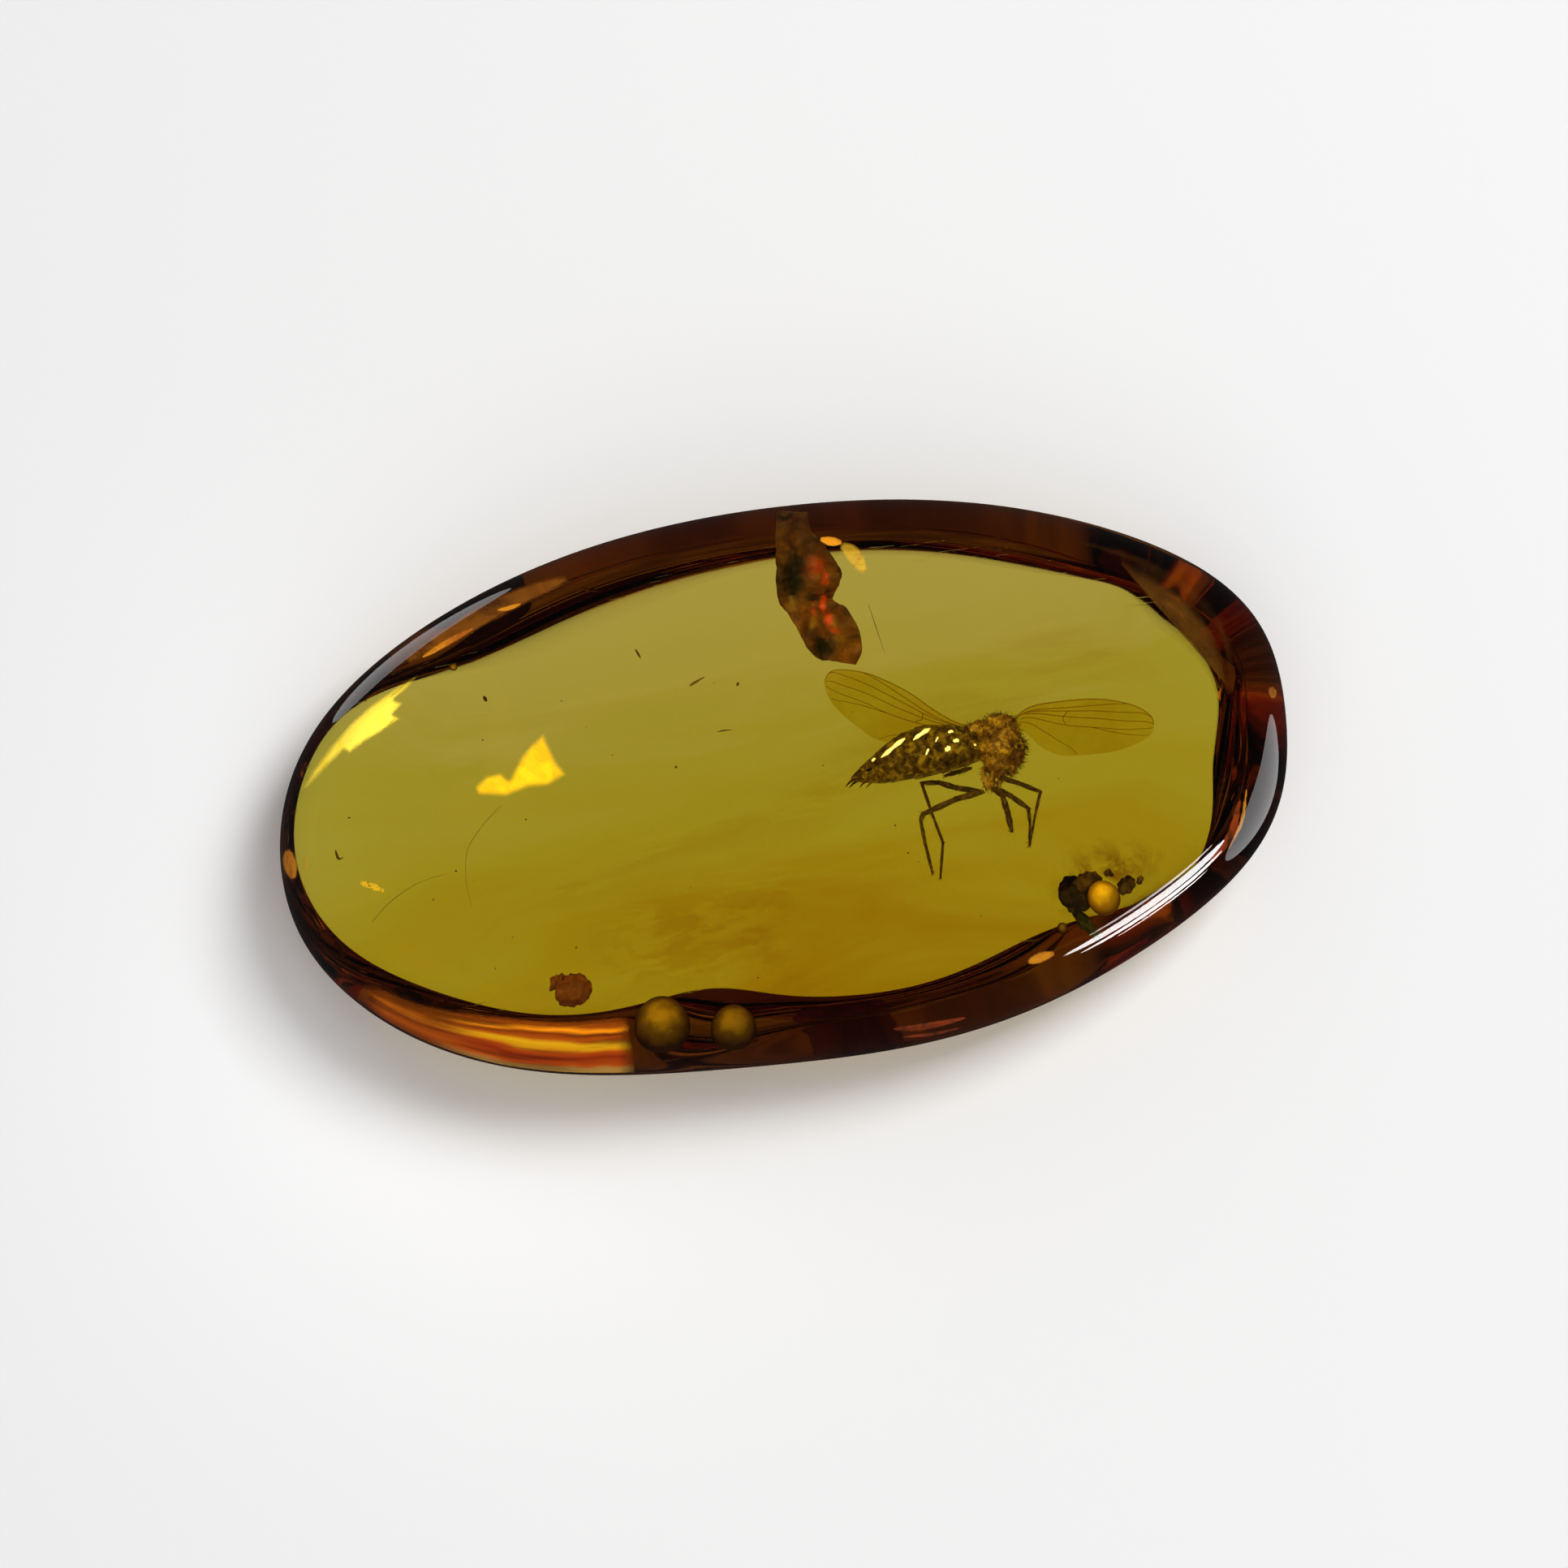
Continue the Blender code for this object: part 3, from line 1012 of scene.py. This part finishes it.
def facing(px, py, depth):
    """A placing for make_sheet: a flat sheet across the sight line of its middle, at a depth in mm."""
    centre = sealed(px, py, depth)
    across = sight_line(px, py)[1]

    def place(px, py, lift):
        hit, inside = sight_line(px, py)
        return hit + inside * max(LEAST_DEPTH, (centre - hit).dot(across) / inside.dot(across) + lift * MM)

    return place


def under_face(depth):
    """A placing for make_sheet: a sheet that follows the polished face at a depth in millimetres."""
    return lambda px, py, lift: sealed(px, py, depth + lift)


def ribbon_outline(path, width):
    """The outline of a ribbon, in pixels, along the path. It tapers at both ends."""
    path = smooth_path(path, 6)
    left, right = [], []
    for i, p in enumerate(path):
        ahead = heading(path, i)
        half = width / 2 * math.sin(math.pi * (0.06 + 0.88 * i / (len(path) - 1))) ** 0.6
        side = Vector((-ahead.y, ahead.x, 0)) * half
        left.append(tuple((p + side)[:2]))
        right.append(tuple((p - side)[:2]))
    return left + right[::-1]


FLAKE_LEFT = ((957, 629), (956, 655), (957, 690), (957, 720), (959, 738), (970, 755), (983, 775), (992, 793),
              (1002, 806), (1014, 813))
FLAKE_RIGHT = ((994, 632), (999, 655), (1019, 677), (1035, 702), (1034, 719), (1025, 738), (1040, 748),
               (1054, 768), (1062, 796), (1054, 818))
FLAKE_CELLS = (90, 24)  # along and across
FLAKE_DEPTH = 1.5  # mm at its upper end
FLAKE_SLOPE = 1.2  # mm deeper at its lower end
FLAKE_THICKNESS = 0.10 * MM
FLAKE_DARK = (  # middle and reach in pixels, and strength
    (977, 706, 20, 32, 1.0), (1001, 736, 12, 9, 0.9), (1010, 800, 9, 13, 1.0))
FLAKE_RED = (
    (1005, 698, 14, 15, 0.45), (1016, 711, 5, 9, 0.9), (1014, 743, 5, 12, 1.0), (1021, 762, 5, 12, 0.9),
    (1029, 776, 5, 6, 0.6), (1002, 752, 4, 9, 0.5))
FLAKE_TAN = ((976, 745, 8, 10, 0.7), (1001, 767, 6, 10, 1.0), (1036, 790, 13, 16, 0.35))


def spot_share(pixel, spots):
    """A spot's strength in its middle, 0 outside them all, with a ragged edge."""
    share = 0.0
    for x, y, reach_x, reach_y, strength in spots:
        reach = math.hypot((pixel.x - x) / reach_x, (pixel.y - y) / reach_y) + 0.7 * noise.noise(pixel / 6)
        share = max(share, strength * min(0.95, (1.15 - reach) / 0.9))
    return share


def sheet_between(name, edges, rows, columns, place, material):
    """A sheet between two edges given in pixels, and its (pixel, share along, share across) points."""
    edges = [smooth_path(edge, 10) for edge in edges]
    points = []
    for i in range(rows + 1):
        first, second = (blend_values(edge, i / rows) for edge in edges)
        points += [(first.lerp(second, j / columns), i / rows, j / columns) for j in range(columns + 1)]
    verts = [place(*point) for point in points]
    return add_piece(name, verts, grid_faces(rows, columns), material), points


def make_flake():
    """The bark flake: a folded sheet that hangs from the polished edge."""
    def place(pixel, along, across):
        fold = 0.22 * math.sin(across * 5 + along * 7) + 0.30 * noise.noise(pixel / 18)
        return sealed(pixel.x, pixel.y, FLAKE_DEPTH + FLAKE_SLOPE * along + fold)

    piece, points = sheet_between("bark_flake", (FLAKE_LEFT, FLAKE_RIGHT), *FLAKE_CELLS, place,
                                  flake_material())
    mark_points(piece, "zone", [[spot_share(pixel, spots) for spots in (FLAKE_DARK, FLAKE_RED, FLAKE_TAN)]
                                for pixel, _, _ in points])
    thick = piece.modifiers.new("thickness", "SOLIDIFY")
    thick.thickness = FLAKE_THICKNESS
    thick.offset = 0


EMBER_INNER = ((450, 1206), (500, 1230), (556, 1244), (620, 1252), (680, 1258), (732, 1256), (774, 1250))
EMBER_OUTER = ((438, 1231), (484, 1262), (538, 1288), (606, 1309), (672, 1319), (732, 1322), (784, 1321))
EMBER_CELLS = (80, 24)  # along and across
EMBER_DEPTH = 1.4  # mm at its inner edge
EMBER_SLOPE = -0.95  # mm deeper at its outer edge
EMBER_FADES = (0.12, 0.07, 0.12)  # shares it fades over at its left end, its right end and its inner edge
# Painted glint colours; the pale stops at the outer edge are a painted highlight on the stone's edge.
EMBER_RIGHT = (  # share across, from the window to the edge, and colour at the band's right end
    (0.00, (0.16, 0.035, 0.001)),
    (0.14, (0.30, 0.060, 0.001)),
    (0.22, (0.85, 0.300, 0.004)),
    (0.29, (0.26, 0.040, 0.001)),
    (0.38, (0.55, 0.110, 0.001)),
    (0.45, (1.00, 0.600, 0.012)),
    (0.53, (1.00, 0.520, 0.008)),
    (0.60, (0.80, 0.130, 0.001)),
    (0.72, (0.50, 0.045, 0.001)),
    (0.86, (0.95, 0.150, 0.002)),
    (0.92, (1.00, 0.600, 0.210)),
    (1.00, (1.00, 0.600, 0.210)),
)
EMBER_LEFT = (
    (0.00, (0.08, 0.020, 0.001)),
    (0.30, (0.30, 0.070, 0.001)),
    (0.46, (0.70, 0.190, 0.002)),
    (0.60, (0.34, 0.060, 0.001)),
    (0.78, (0.85, 0.170, 0.002)),
    (1.00, (0.42, 0.080, 0.002)),
)


def ember_material():
    """Painted glints along the lower left edge: gold, orange and red streaks that run along it, on a gas
    film.
    """
    material, tree, shader = new_material("ember", Roughness=0.35, IOR=1.5, Specular_IOR_Level=0.1)
    span = marked(tree, "span", "Vector")
    along, across, cover = split(tree, span)
    sway = noise_value(tree, turned(tree, span, (2.4, 1.2, 0.0)), 1.0, detail=2.0)
    shifted = calculate(tree, "ADD", across, value_ramp(tree, sway, 0.3, 0.7, -0.06, 0.06))
    left, right = (colour_ramp(tree, shifted, stops) for stops in (EMBER_LEFT, EMBER_RIGHT))
    colour = mixed(tree, value_ramp(tree, along, 0.28, 0.50), left, right)
    fine = noise_value(tree, turned(tree, span, (2.5, 8.0, 0.0)), 1.0, detail=3.0)
    set_colour(tree, shader, scaled(tree, colour, value_ramp(tree, fine, 0.32, 0.52, 0.55, 1.0)))
    tree.links.new(cover, shader.inputs["Alpha"])
    return material


def make_ember():
    def place(pixel, _, across):
        return sealed(pixel.x, pixel.y, EMBER_DEPTH + EMBER_SLOPE * across)

    piece, points = sheet_between("glint_ember", (EMBER_INNER, EMBER_OUTER), *EMBER_CELLS, place,
                                  ember_material())
    left, right, inner = EMBER_FADES
    mark_points(piece, "span", [
        (along, across, min(1.0, along / left, (1.0 - along) / right) * min(1.0, across / inner))
        for _, along, across in points])


# The spangle: a fracture, with a painted reflection in its bright gold colour.
SPANGLE = ((670, 901), (678, 918), (687, 937), (701, 955), (676, 970), (652, 972), (624, 983), (588, 981),
           (583, 969), (598, 955), (617, 950), (627, 958), (640, 932), (652, 917))
SPANGLE_MIDDLE_PX = (650, 950)
SPANGLE_DEPTH = 3.6
# A painted glint along the left edge: a pale sheet whose colour stands for light reflected there.
PAINTED_EDGE_GLINT = ((368, 976), (384, 948), (406, 919), (431, 890), (457, 867), (486, 847), (517, 830), (504, 848),
               (488, 862), (498, 866), (486, 880), (495, 885), (470, 903), (450, 915), (431, 930), (424, 926),
               (400, 950), (380, 972))
PAINTED_EDGE_GLINT_DEPTH = 1.6
# Painted glints and glows: sheets whose bright colours stand for light caught in the rim.
GLINTS = (  # name, colour name, path in pixels, width in pixels, depth in mm
    ("left_end", "orange", ((354, 1046), (357, 1064), (362, 1084)), 20, 0.8),
    ("left_pale", "faint", ((374, 1056), (377, 1066), (378, 1074)), 9, 1.0),
    ("left_low", "faint", ((444, 1087), (458, 1092), (474, 1098)), 9, 3.0),
    ("bottom_right", "orange", ((1266, 1186), (1282, 1180), (1300, 1174)), 14, 1.0),
    ("bottom_red_a", "red", ((1100, 1268), (1140, 1265), (1190, 1254)), 10, 0.8),
    ("bottom_red_b", "red", ((1112, 1278), (1150, 1274), (1185, 1266)), 5, 0.6),
    ("right_low_a", "red", ((1490, 1064), (1516, 1030), (1528, 985)), 12, 1.2),
    ("right_low_b", "orange", ((1514, 1046), (1530, 1012), (1536, 972)), 5, 1.0),
    ("right_end", "orange", ((1565, 846), (1568, 853), (1569, 861)), 12, 0.5),
    ("top_left_glow", "brown", ((500, 815), (560, 778), (630, 740), (700, 712)), 28, 1.3),
    ("top_right_glow", "umber", ((1330, 668), (1400, 690), (1465, 728), (1507, 782), (1520, 850)), 18, 1.4),
    ("top_left_a", "orange", ((612, 752), (628, 749), (642, 744)), 7, 1.0),
    ("top_left_b", "orange", ((520, 810), (549, 793), (584, 774)), 9, 1.0),
    ("top_middle", "orange", ((1010, 664), (1024, 667), (1038, 668)), 13, 1.0),
    ("top_pale", "faint", ((1036, 670), (1052, 684), (1066, 706)), 22, 1.6),
)


# The spangle, the edge glint, the lower left fan and the rim glints: sheets with painted glints and
# reflections.
def make_glint_films():
    films = material_set(glint_film_material, "film", GLINT_FILM_COLOURS)
    make_ember()
    make_sheet("spangle", SPANGLE, facing(*SPANGLE_MIDDLE_PX, SPANGLE_DEPTH), films["gold"],
               relief=0.03, relief_px=30, seed=4)
    middle = [sum(p[k] for p in PAINTED_EDGE_GLINT) / len(PAINTED_EDGE_GLINT) for k in (0, 1)]
    make_sheet("painted_edge_glint", PAINTED_EDGE_GLINT, facing(*middle, PAINTED_EDGE_GLINT_DEPTH), films["pale"],
               relief=0.02, relief_px=25, seed=8)
    for i, (name, colour, path, width, depth) in enumerate(GLINTS):
        place = facing(*path[len(path) // 2], depth)
        make_sheet(f"glint_{name}", ribbon_outline(path, width), place, films[colour],
                   relief=0.01, relief_px=14, cuts=3, seed=i)


BUBBLES = (  # pixel, depth in mm, radius in mm, wall
    ((816, 1266), 2.6, 0.80, "brown"),
    ((904, 1268), 2.6, 0.66, "brown"),
    ((1361, 1108), 2.8, 0.46, "golden"),
    ((559, 822), 2.0, 0.12, "brown"),
    ((1309, 1143), 3.0, 0.15, "brown"),
)


def add_sealed_piece(name, shell, pixel, depth, material):
    """A piece from a shell in millimetres, with its own middle at a depth under a pixel."""
    centre = sealed(*pixel, depth)
    return add_piece(name, [centre + v * MM for v in shell.verts], shell.faces, material)


def make_bubbles():
    walls = material_set(bubble_material, "bubble", BUBBLE_WALLS)
    for i, (pixel, depth, radius, wall) in enumerate(BUBBLES):
        shell = Shell()
        shell.ball((0, 0, 0), (radius, radius * 0.94, radius * 0.9), detail=5 if radius > 0.3 else 3)
        shell.faces = [tuple(reversed(face)) for face in shell.faces]
        piece = add_sealed_piece(f"bubble_{i + 1}", shell, pixel, depth, walls[wall])
        # Painted light: the share of the light top colour rises with each point's height.
        mark_points(piece, "lit_top", [max(0.0, v.normalized().z) for v in shell.verts])


DEBRIS = (  # pixel, depth, radii in mm, turn in degrees, kind
    ((1325, 1101), 3.4, (0.46, 0.42, 0.22), 10, "dark"),
    ((1340, 1088), 3.3, (0.40, 0.20, 0.16), 25, "brown"),
    ((1338, 1138), 3.2, (0.66, 0.15, 0.14), -45, "olive"),
    ((1388, 1092), 3.4, (0.30, 0.18, 0.12), 40, "brown"),
    ((1404, 1084), 3.1, (0.10, 0.08, 0.08), 0, "brown"),
    ((1366, 1076), 3.0, (0.14, 0.08, 0.08), 20, "brown"),
    ((707, 1219), 4.0, (0.50, 0.34, 0.20), 15, "ruddy"),
    ((686, 1212), 4.2, (0.20, 0.12, 0.12), 40, "ruddy"),
)


def make_debris():
    kinds = material_set(debris_material, "debris", DEBRIS_LOOKS)
    for i, (pixel, depth, radii, turn, kind) in enumerate(DEBRIS):
        shell = Shell()
        shell.ball((0, 0, 0), radii, turn + VIEW_AZIMUTH, detail=4)
        shell.roughen(size=0.12, height=0.10, seed=i + 1)
        add_sealed_piece(f"debris_{i + 1}", shell, pixel, depth, kinds[kind])


SPECKS = (  # pixel, size in mm
    ((596, 858), 0.07), ((595, 912), 0.05), ((692, 864), 0.04), ((833, 945), 0.06), ((562, 1073), 0.05),
    ((610, 1194), 0.04), ((934, 1204), 0.05), ((909, 843), 0.09), ((710, 1169), 0.05), ((1103, 1017), 0.045),
    ((1119, 1051), 0.045), ((648, 1010), 0.04),
)
STICKS = (  # pixel path, radius in mm
    (((783, 800), (787, 807), (789, 811)), 0.035),
    (((850, 845), (858, 840), (868, 834)), 0.040),
    (((884, 902), (892, 900), (902, 899)), 0.022),
    (((412, 1048), (415, 1058), (424, 1056)), 0.030),
)
HAIRS = (  # pixel path, radius in mm
    (((1070, 745), (1080, 775), (1090, 805)), 0.010),
    (((618, 992), (594, 1018), (576, 1048), (574, 1084), (581, 1119)), 0.008),
    (((458, 1136), (480, 1112), (512, 1090), (552, 1076)), 0.008),
)
SPECK_SEED = 23
SPECK_DEPTHS = (1.5, 4.5)
SPECK_SHAPE = (0.4, 0.8)  # least and greatest radius, as shares of a speck's size
LINE_DEPTHS = (2.0, 4.0)  # for the sticks and the hairs
DUST_PX = range(430, 1480, 35)  # one grain of fine dust for each of these columns
DUST_PY = (800, 1180)
DUST_SPREAD_PX = 15
DUST_SIZES = (0.010, 0.022)
DUST_DEPTHS = (1.0, 5.0)


def make_specks():
    """The specks, the dust, the sticks and the hairs, in one piece."""
    generator = random.Random(SPECK_SEED)
    specks = Shell()
    for pixel, size in SPECKS:
        centre = sealed(*pixel, generator.uniform(*SPECK_DEPTHS)) / MM
        radii = [size * generator.uniform(*SPECK_SHAPE) for _ in range(3)]
        specks.ball(centre, radii, generator.uniform(0, 180), detail=2)
    for px in DUST_PX:
        py = generator.uniform(*DUST_PY)
        size = generator.uniform(*DUST_SIZES)
        px += generator.uniform(-DUST_SPREAD_PX, DUST_SPREAD_PX)
        specks.ball(sealed(px, py, generator.uniform(*DUST_DEPTHS)) / MM, (size,) * 3, detail=1)
    for path, radius in STICKS + HAIRS:
        depth = generator.uniform(*LINE_DEPTHS)
        points = smooth_path([sealed(*pixel, depth) / MM for pixel in path], 8)
        specks.tube(points, (radius * 0.6, radius, radius * 0.8, radius * 0.3), sides=6)
    material = debris_material("speck", *SPECK_LOOK)
    add_piece("specks", [v * MM for v in specks.verts], specks.faces, material)


LEAF_LAYER = ((752, 1100), (800, 1078), (870, 1070), (940, 1066), (992, 1060), (1000, 1100), (990, 1150),
              (996, 1212), (930, 1226), (840, 1236), (760, 1234), (716, 1200), (722, 1140))
SLANT_LAYER = ((560, 1110), (700, 1050), (860, 990), (980, 940), (1080, 860), (1180, 800), (1300, 740),
               (1400, 770), (1440, 840), (1340, 860), (1160, 960), (1000, 1040), (820, 1100), (700, 1130))
MOTTLE_LAYER = ((1286, 1090), (1310, 1050), (1350, 1030), (1400, 1030), (1440, 1050), (1430, 1080),
                (1390, 1110), (1340, 1140), (1300, 1130))
FLOW_HEIGHT = 0.25 * MM  # above the flat back
FLOW_INSET = 0.90  # as a share of the skirt's width


def make_flow_sheet():
    """The sheet just over the flat back that every sight line through the window crosses."""
    verts = []
    for angle, x, y, support in fitted_outline(SEGMENTS):
        reach = 1 - FLOW_INSET * (SKIRT_MEAN + swing(angle, SKIRT_SWINGS)) / support
        verts.append((x * reach, y * reach, FLOW_HEIGHT))
    add_piece("layer_flow", verts, [range(len(verts))], flow_material())


def make_flow_layers():
    tints = material_set(tint_material, "layer", TINTS)
    make_sheet("layer_leaf", LEAF_LAYER, level(2.2), tints["leaf"], relief=0.4, relief_px=60, seed=1)
    make_sheet("layer_slant", SLANT_LAYER, level(1.2), tints["slant"], relief=0.4, relief_px=90, seed=3)
    make_sheet("layer_mottle", MOTTLE_LAYER, under_face(3.4), tints["mottle"],
               relief=0.3, relief_px=30, seed=6)


# ----
# Floor, light and camera

FLOOR_DROP = 0.05 * MM
STAGE_SIZE = 1.2
STONE_MIDDLE = (0, 0, 4 * MM)
# The white bands stand below the horizon, where the lower right edge reflects them.
SOFTBOXES = (  # name, place, size, energy, the kind of ray that sees it, shape
    ("key", (0.158, 0.074, 0.315), (0.126, 0.126), 0.88, "diffuse", "RECTANGLE"),
    ("overhead", (-0.02, -0.16, 0.34), (0.4, 0.4), 0.5, "diffuse", "RECTANGLE"),
    ("white_band_1", (0.088, -0.112, -0.018), (0.050, 0.005), 0.005, "glossy", "ELLIPSE"),
    ("white_band_2", (0.088, -0.112, -0.034), (0.066, 0.016), 0.034, "glossy", "ELLIPSE"),
    ("white_band_3", (0.088, -0.112, -0.050), (0.056, 0.009), 0.018, "glossy", "ELLIPSE"),
    ("white_band_4", (0.088, -0.112, -0.062), (0.034, 0.004), 0.004, "glossy", "ELLIPSE"),
    ("right_glow", (0.140, -0.045, -0.080), (0.12, 0.10), 0.045, "glossy", "ELLIPSE"),
    ("upper_left_glow", (-0.060, 0.110, -0.090), (0.06, 0.06), 0.007, "glossy", "ELLIPSE"),
)
# The near lamps: an ellipse just under the stone, and three in it that light what is sealed there. The rims
# of those three stand out of the stone, by up to 1.8 mm.
INNER_HEIGHT = 7.2 * MM
LEFT_PX = (470, 930)
LEFT_TARGET_PX = (430, 910)
BAND_PX = (640, 1190)
BAND_TARGET_PX = (630, 1285)
NEAR_LAMPS = (  # name, place, target, size, radiance, the kind of ray that sees it
    ("inclusion_light", (0, 0, INNER_HEIGHT), (0, 0, 0), (0.025, 0.0115), 1.9, "diffuse"),
    ("left_light", sealed(*LEFT_PX, 0.4), sealed(*LEFT_TARGET_PX, 3.0), (0.0035, 0.0060), 3.5, "diffuse"),
    ("band_light", sealed(*BAND_PX, 0.5), sealed(*BAND_TARGET_PX, 1.0), (0.0130, 0.0024), 6.5, "diffuse"),
    ("light_table", (0, 0, -FLOOR_DROP / 2), (0, 0, 1), (0.029, 0.0156), 0.54, "transmission"),
)


def grey(level):
    return level, level, level, 1


def make_floor():
    data = bpy.data.meshes.new("floor")
    half = STAGE_SIZE / 2
    corners = ((-half, -half), (half, -half), (half, half), (-half, half))
    data.from_pydata([(x, y, -FLOOR_DROP) for x, y in corners], [], [(0, 1, 2, 3)])
    pale = new_material("floor", Base_Color=grey(0.80), Roughness=0.95, Specular_IOR_Level=0.1)[0]
    data.materials.append(pale)
    floor = add_object("floor", data)
    floor.visible_glossy = False
    floor.visible_transmission = False


def add_softbox(name, place, size, energy, seen_by, shape, target=STONE_MIDDLE):
    """A soft light that only one kind of ray sees."""
    data = bpy.data.lights.new(name, "AREA")
    data.shape = shape
    data.size, data.size_y = size
    data.energy = energy
    lamp = add_object(name, data)
    lamp.location = place
    way = Vector(target) - Vector(place)
    lamp.rotation_euler = way.to_track_quat("-Z", "Y").to_euler()
    lamp.visible_camera = False
    lamp.visible_diffuse = seen_by == "diffuse"
    lamp.visible_glossy = seen_by == "glossy"
    lamp.visible_transmission = seen_by == "transmission"


def ellipse_energy(size, radiance):
    return radiance * math.pi ** 2 * size[0] * size[1] / 4


def make_lights():
    for softbox in SOFTBOXES:
        add_softbox(*softbox)
    for name, place, target, size, radiance, seen_by in NEAR_LAMPS:
        add_softbox(name, place, size, ellipse_energy(size, radiance), seen_by, "ELLIPSE", target)


ROOM_FRONT = (0.25, 0.14, 0.06, 1)
ROOM_BACK = (0.085, 0.036, 0.006, 1)
ROOM_ZENITH = (0.12, 0.058, 0.025, 1)


def make_world():
    """Pale to the camera; in the stone a warm dim room, and a bright soft sky over what is sealed in it."""
    world = bpy.data.worlds.new("studio")
    bpy.context.scene.world = world
    world.use_nodes = True
    tree = world.node_tree
    ray = node(tree, "LightPath").outputs
    way = node(tree, "TexCoord").outputs["Generated"]
    _, y, z = split(tree, way)

    patches = value_ramp(tree, noise_value(tree, way, 5.0, detail=3.0), 0.36, 0.64, 0.55, 1.15)
    room = mixed(tree, value_ramp(tree, y, -0.3, 0.5), ROOM_FRONT, ROOM_BACK)
    room = mixed(tree, value_ramp(tree, z, 0.75, 0.95), room, ROOM_ZENITH)
    room = scaled(tree, room, patches)
    room = mixed(tree, value_ramp(tree, z, -0.10, 0.08), grey(0.0), room)
    sky = mixed(tree, value_ramp(tree, z, -0.2, 0.9), grey(0.5), grey(1.5))
    inside = mixed(tree, calculate(tree, "GREATER_THAN", ray["Diffuse Depth"], 0.5), room, sky)
    colour = mixed(tree, ray["Is Glossy Ray"], grey(0.30), grey(0.02))
    colour = mixed(tree, ray["Is Transmission Ray"], colour, inside)  # such rays count as glossy too
    colour = mixed(tree, ray["Is Camera Ray"], colour, grey(0.88))
    tree.links.new(colour, tree.nodes["Background"].inputs["Color"])


def make_camera():
    data = bpy.data.cameras.new("camera")
    data.lens = LENS
    data.sensor_width = SENSOR
    data.clip_start = MM
    camera = add_object("camera", data)
    camera.matrix_world = Matrix.Translation(CAMERA_PLACE) @ Matrix((RIGHT, UP, BACK)).transposed().to_4x4()
    bpy.context.scene.camera = camera


def set_render():
    scene = bpy.context.scene
    scene.view_settings.view_transform = "Standard"
    scene.cycles.max_bounces = 32
    scene.cycles.transmission_bounces = 32
    scene.cycles.glossy_bounces = 16
    scene.cycles.transparent_max_bounces = 32
    scene.cycles.diffuse_bounces = 4
    scene.cycles.blur_glossy = 0.0
    scene.cycles.sample_clamp_indirect = 10.0


def make_stone():
    stone = add_piece("amber_stone", STONE_VERTS, STONE_FACES, amber_material())
    stone.data.set_sharp_from_angle(angle=math.radians(SHARP_ANGLE))
    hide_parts("amber")


make_stone()
FLY_FRAME = fly_matrix()
make_fly()
make_flake()
make_glint_films()
make_bubbles()
make_debris()
make_specks()
make_flow_sheet()
make_flow_layers()
make_floor()
make_lights()
make_world()
make_camera()
set_render()
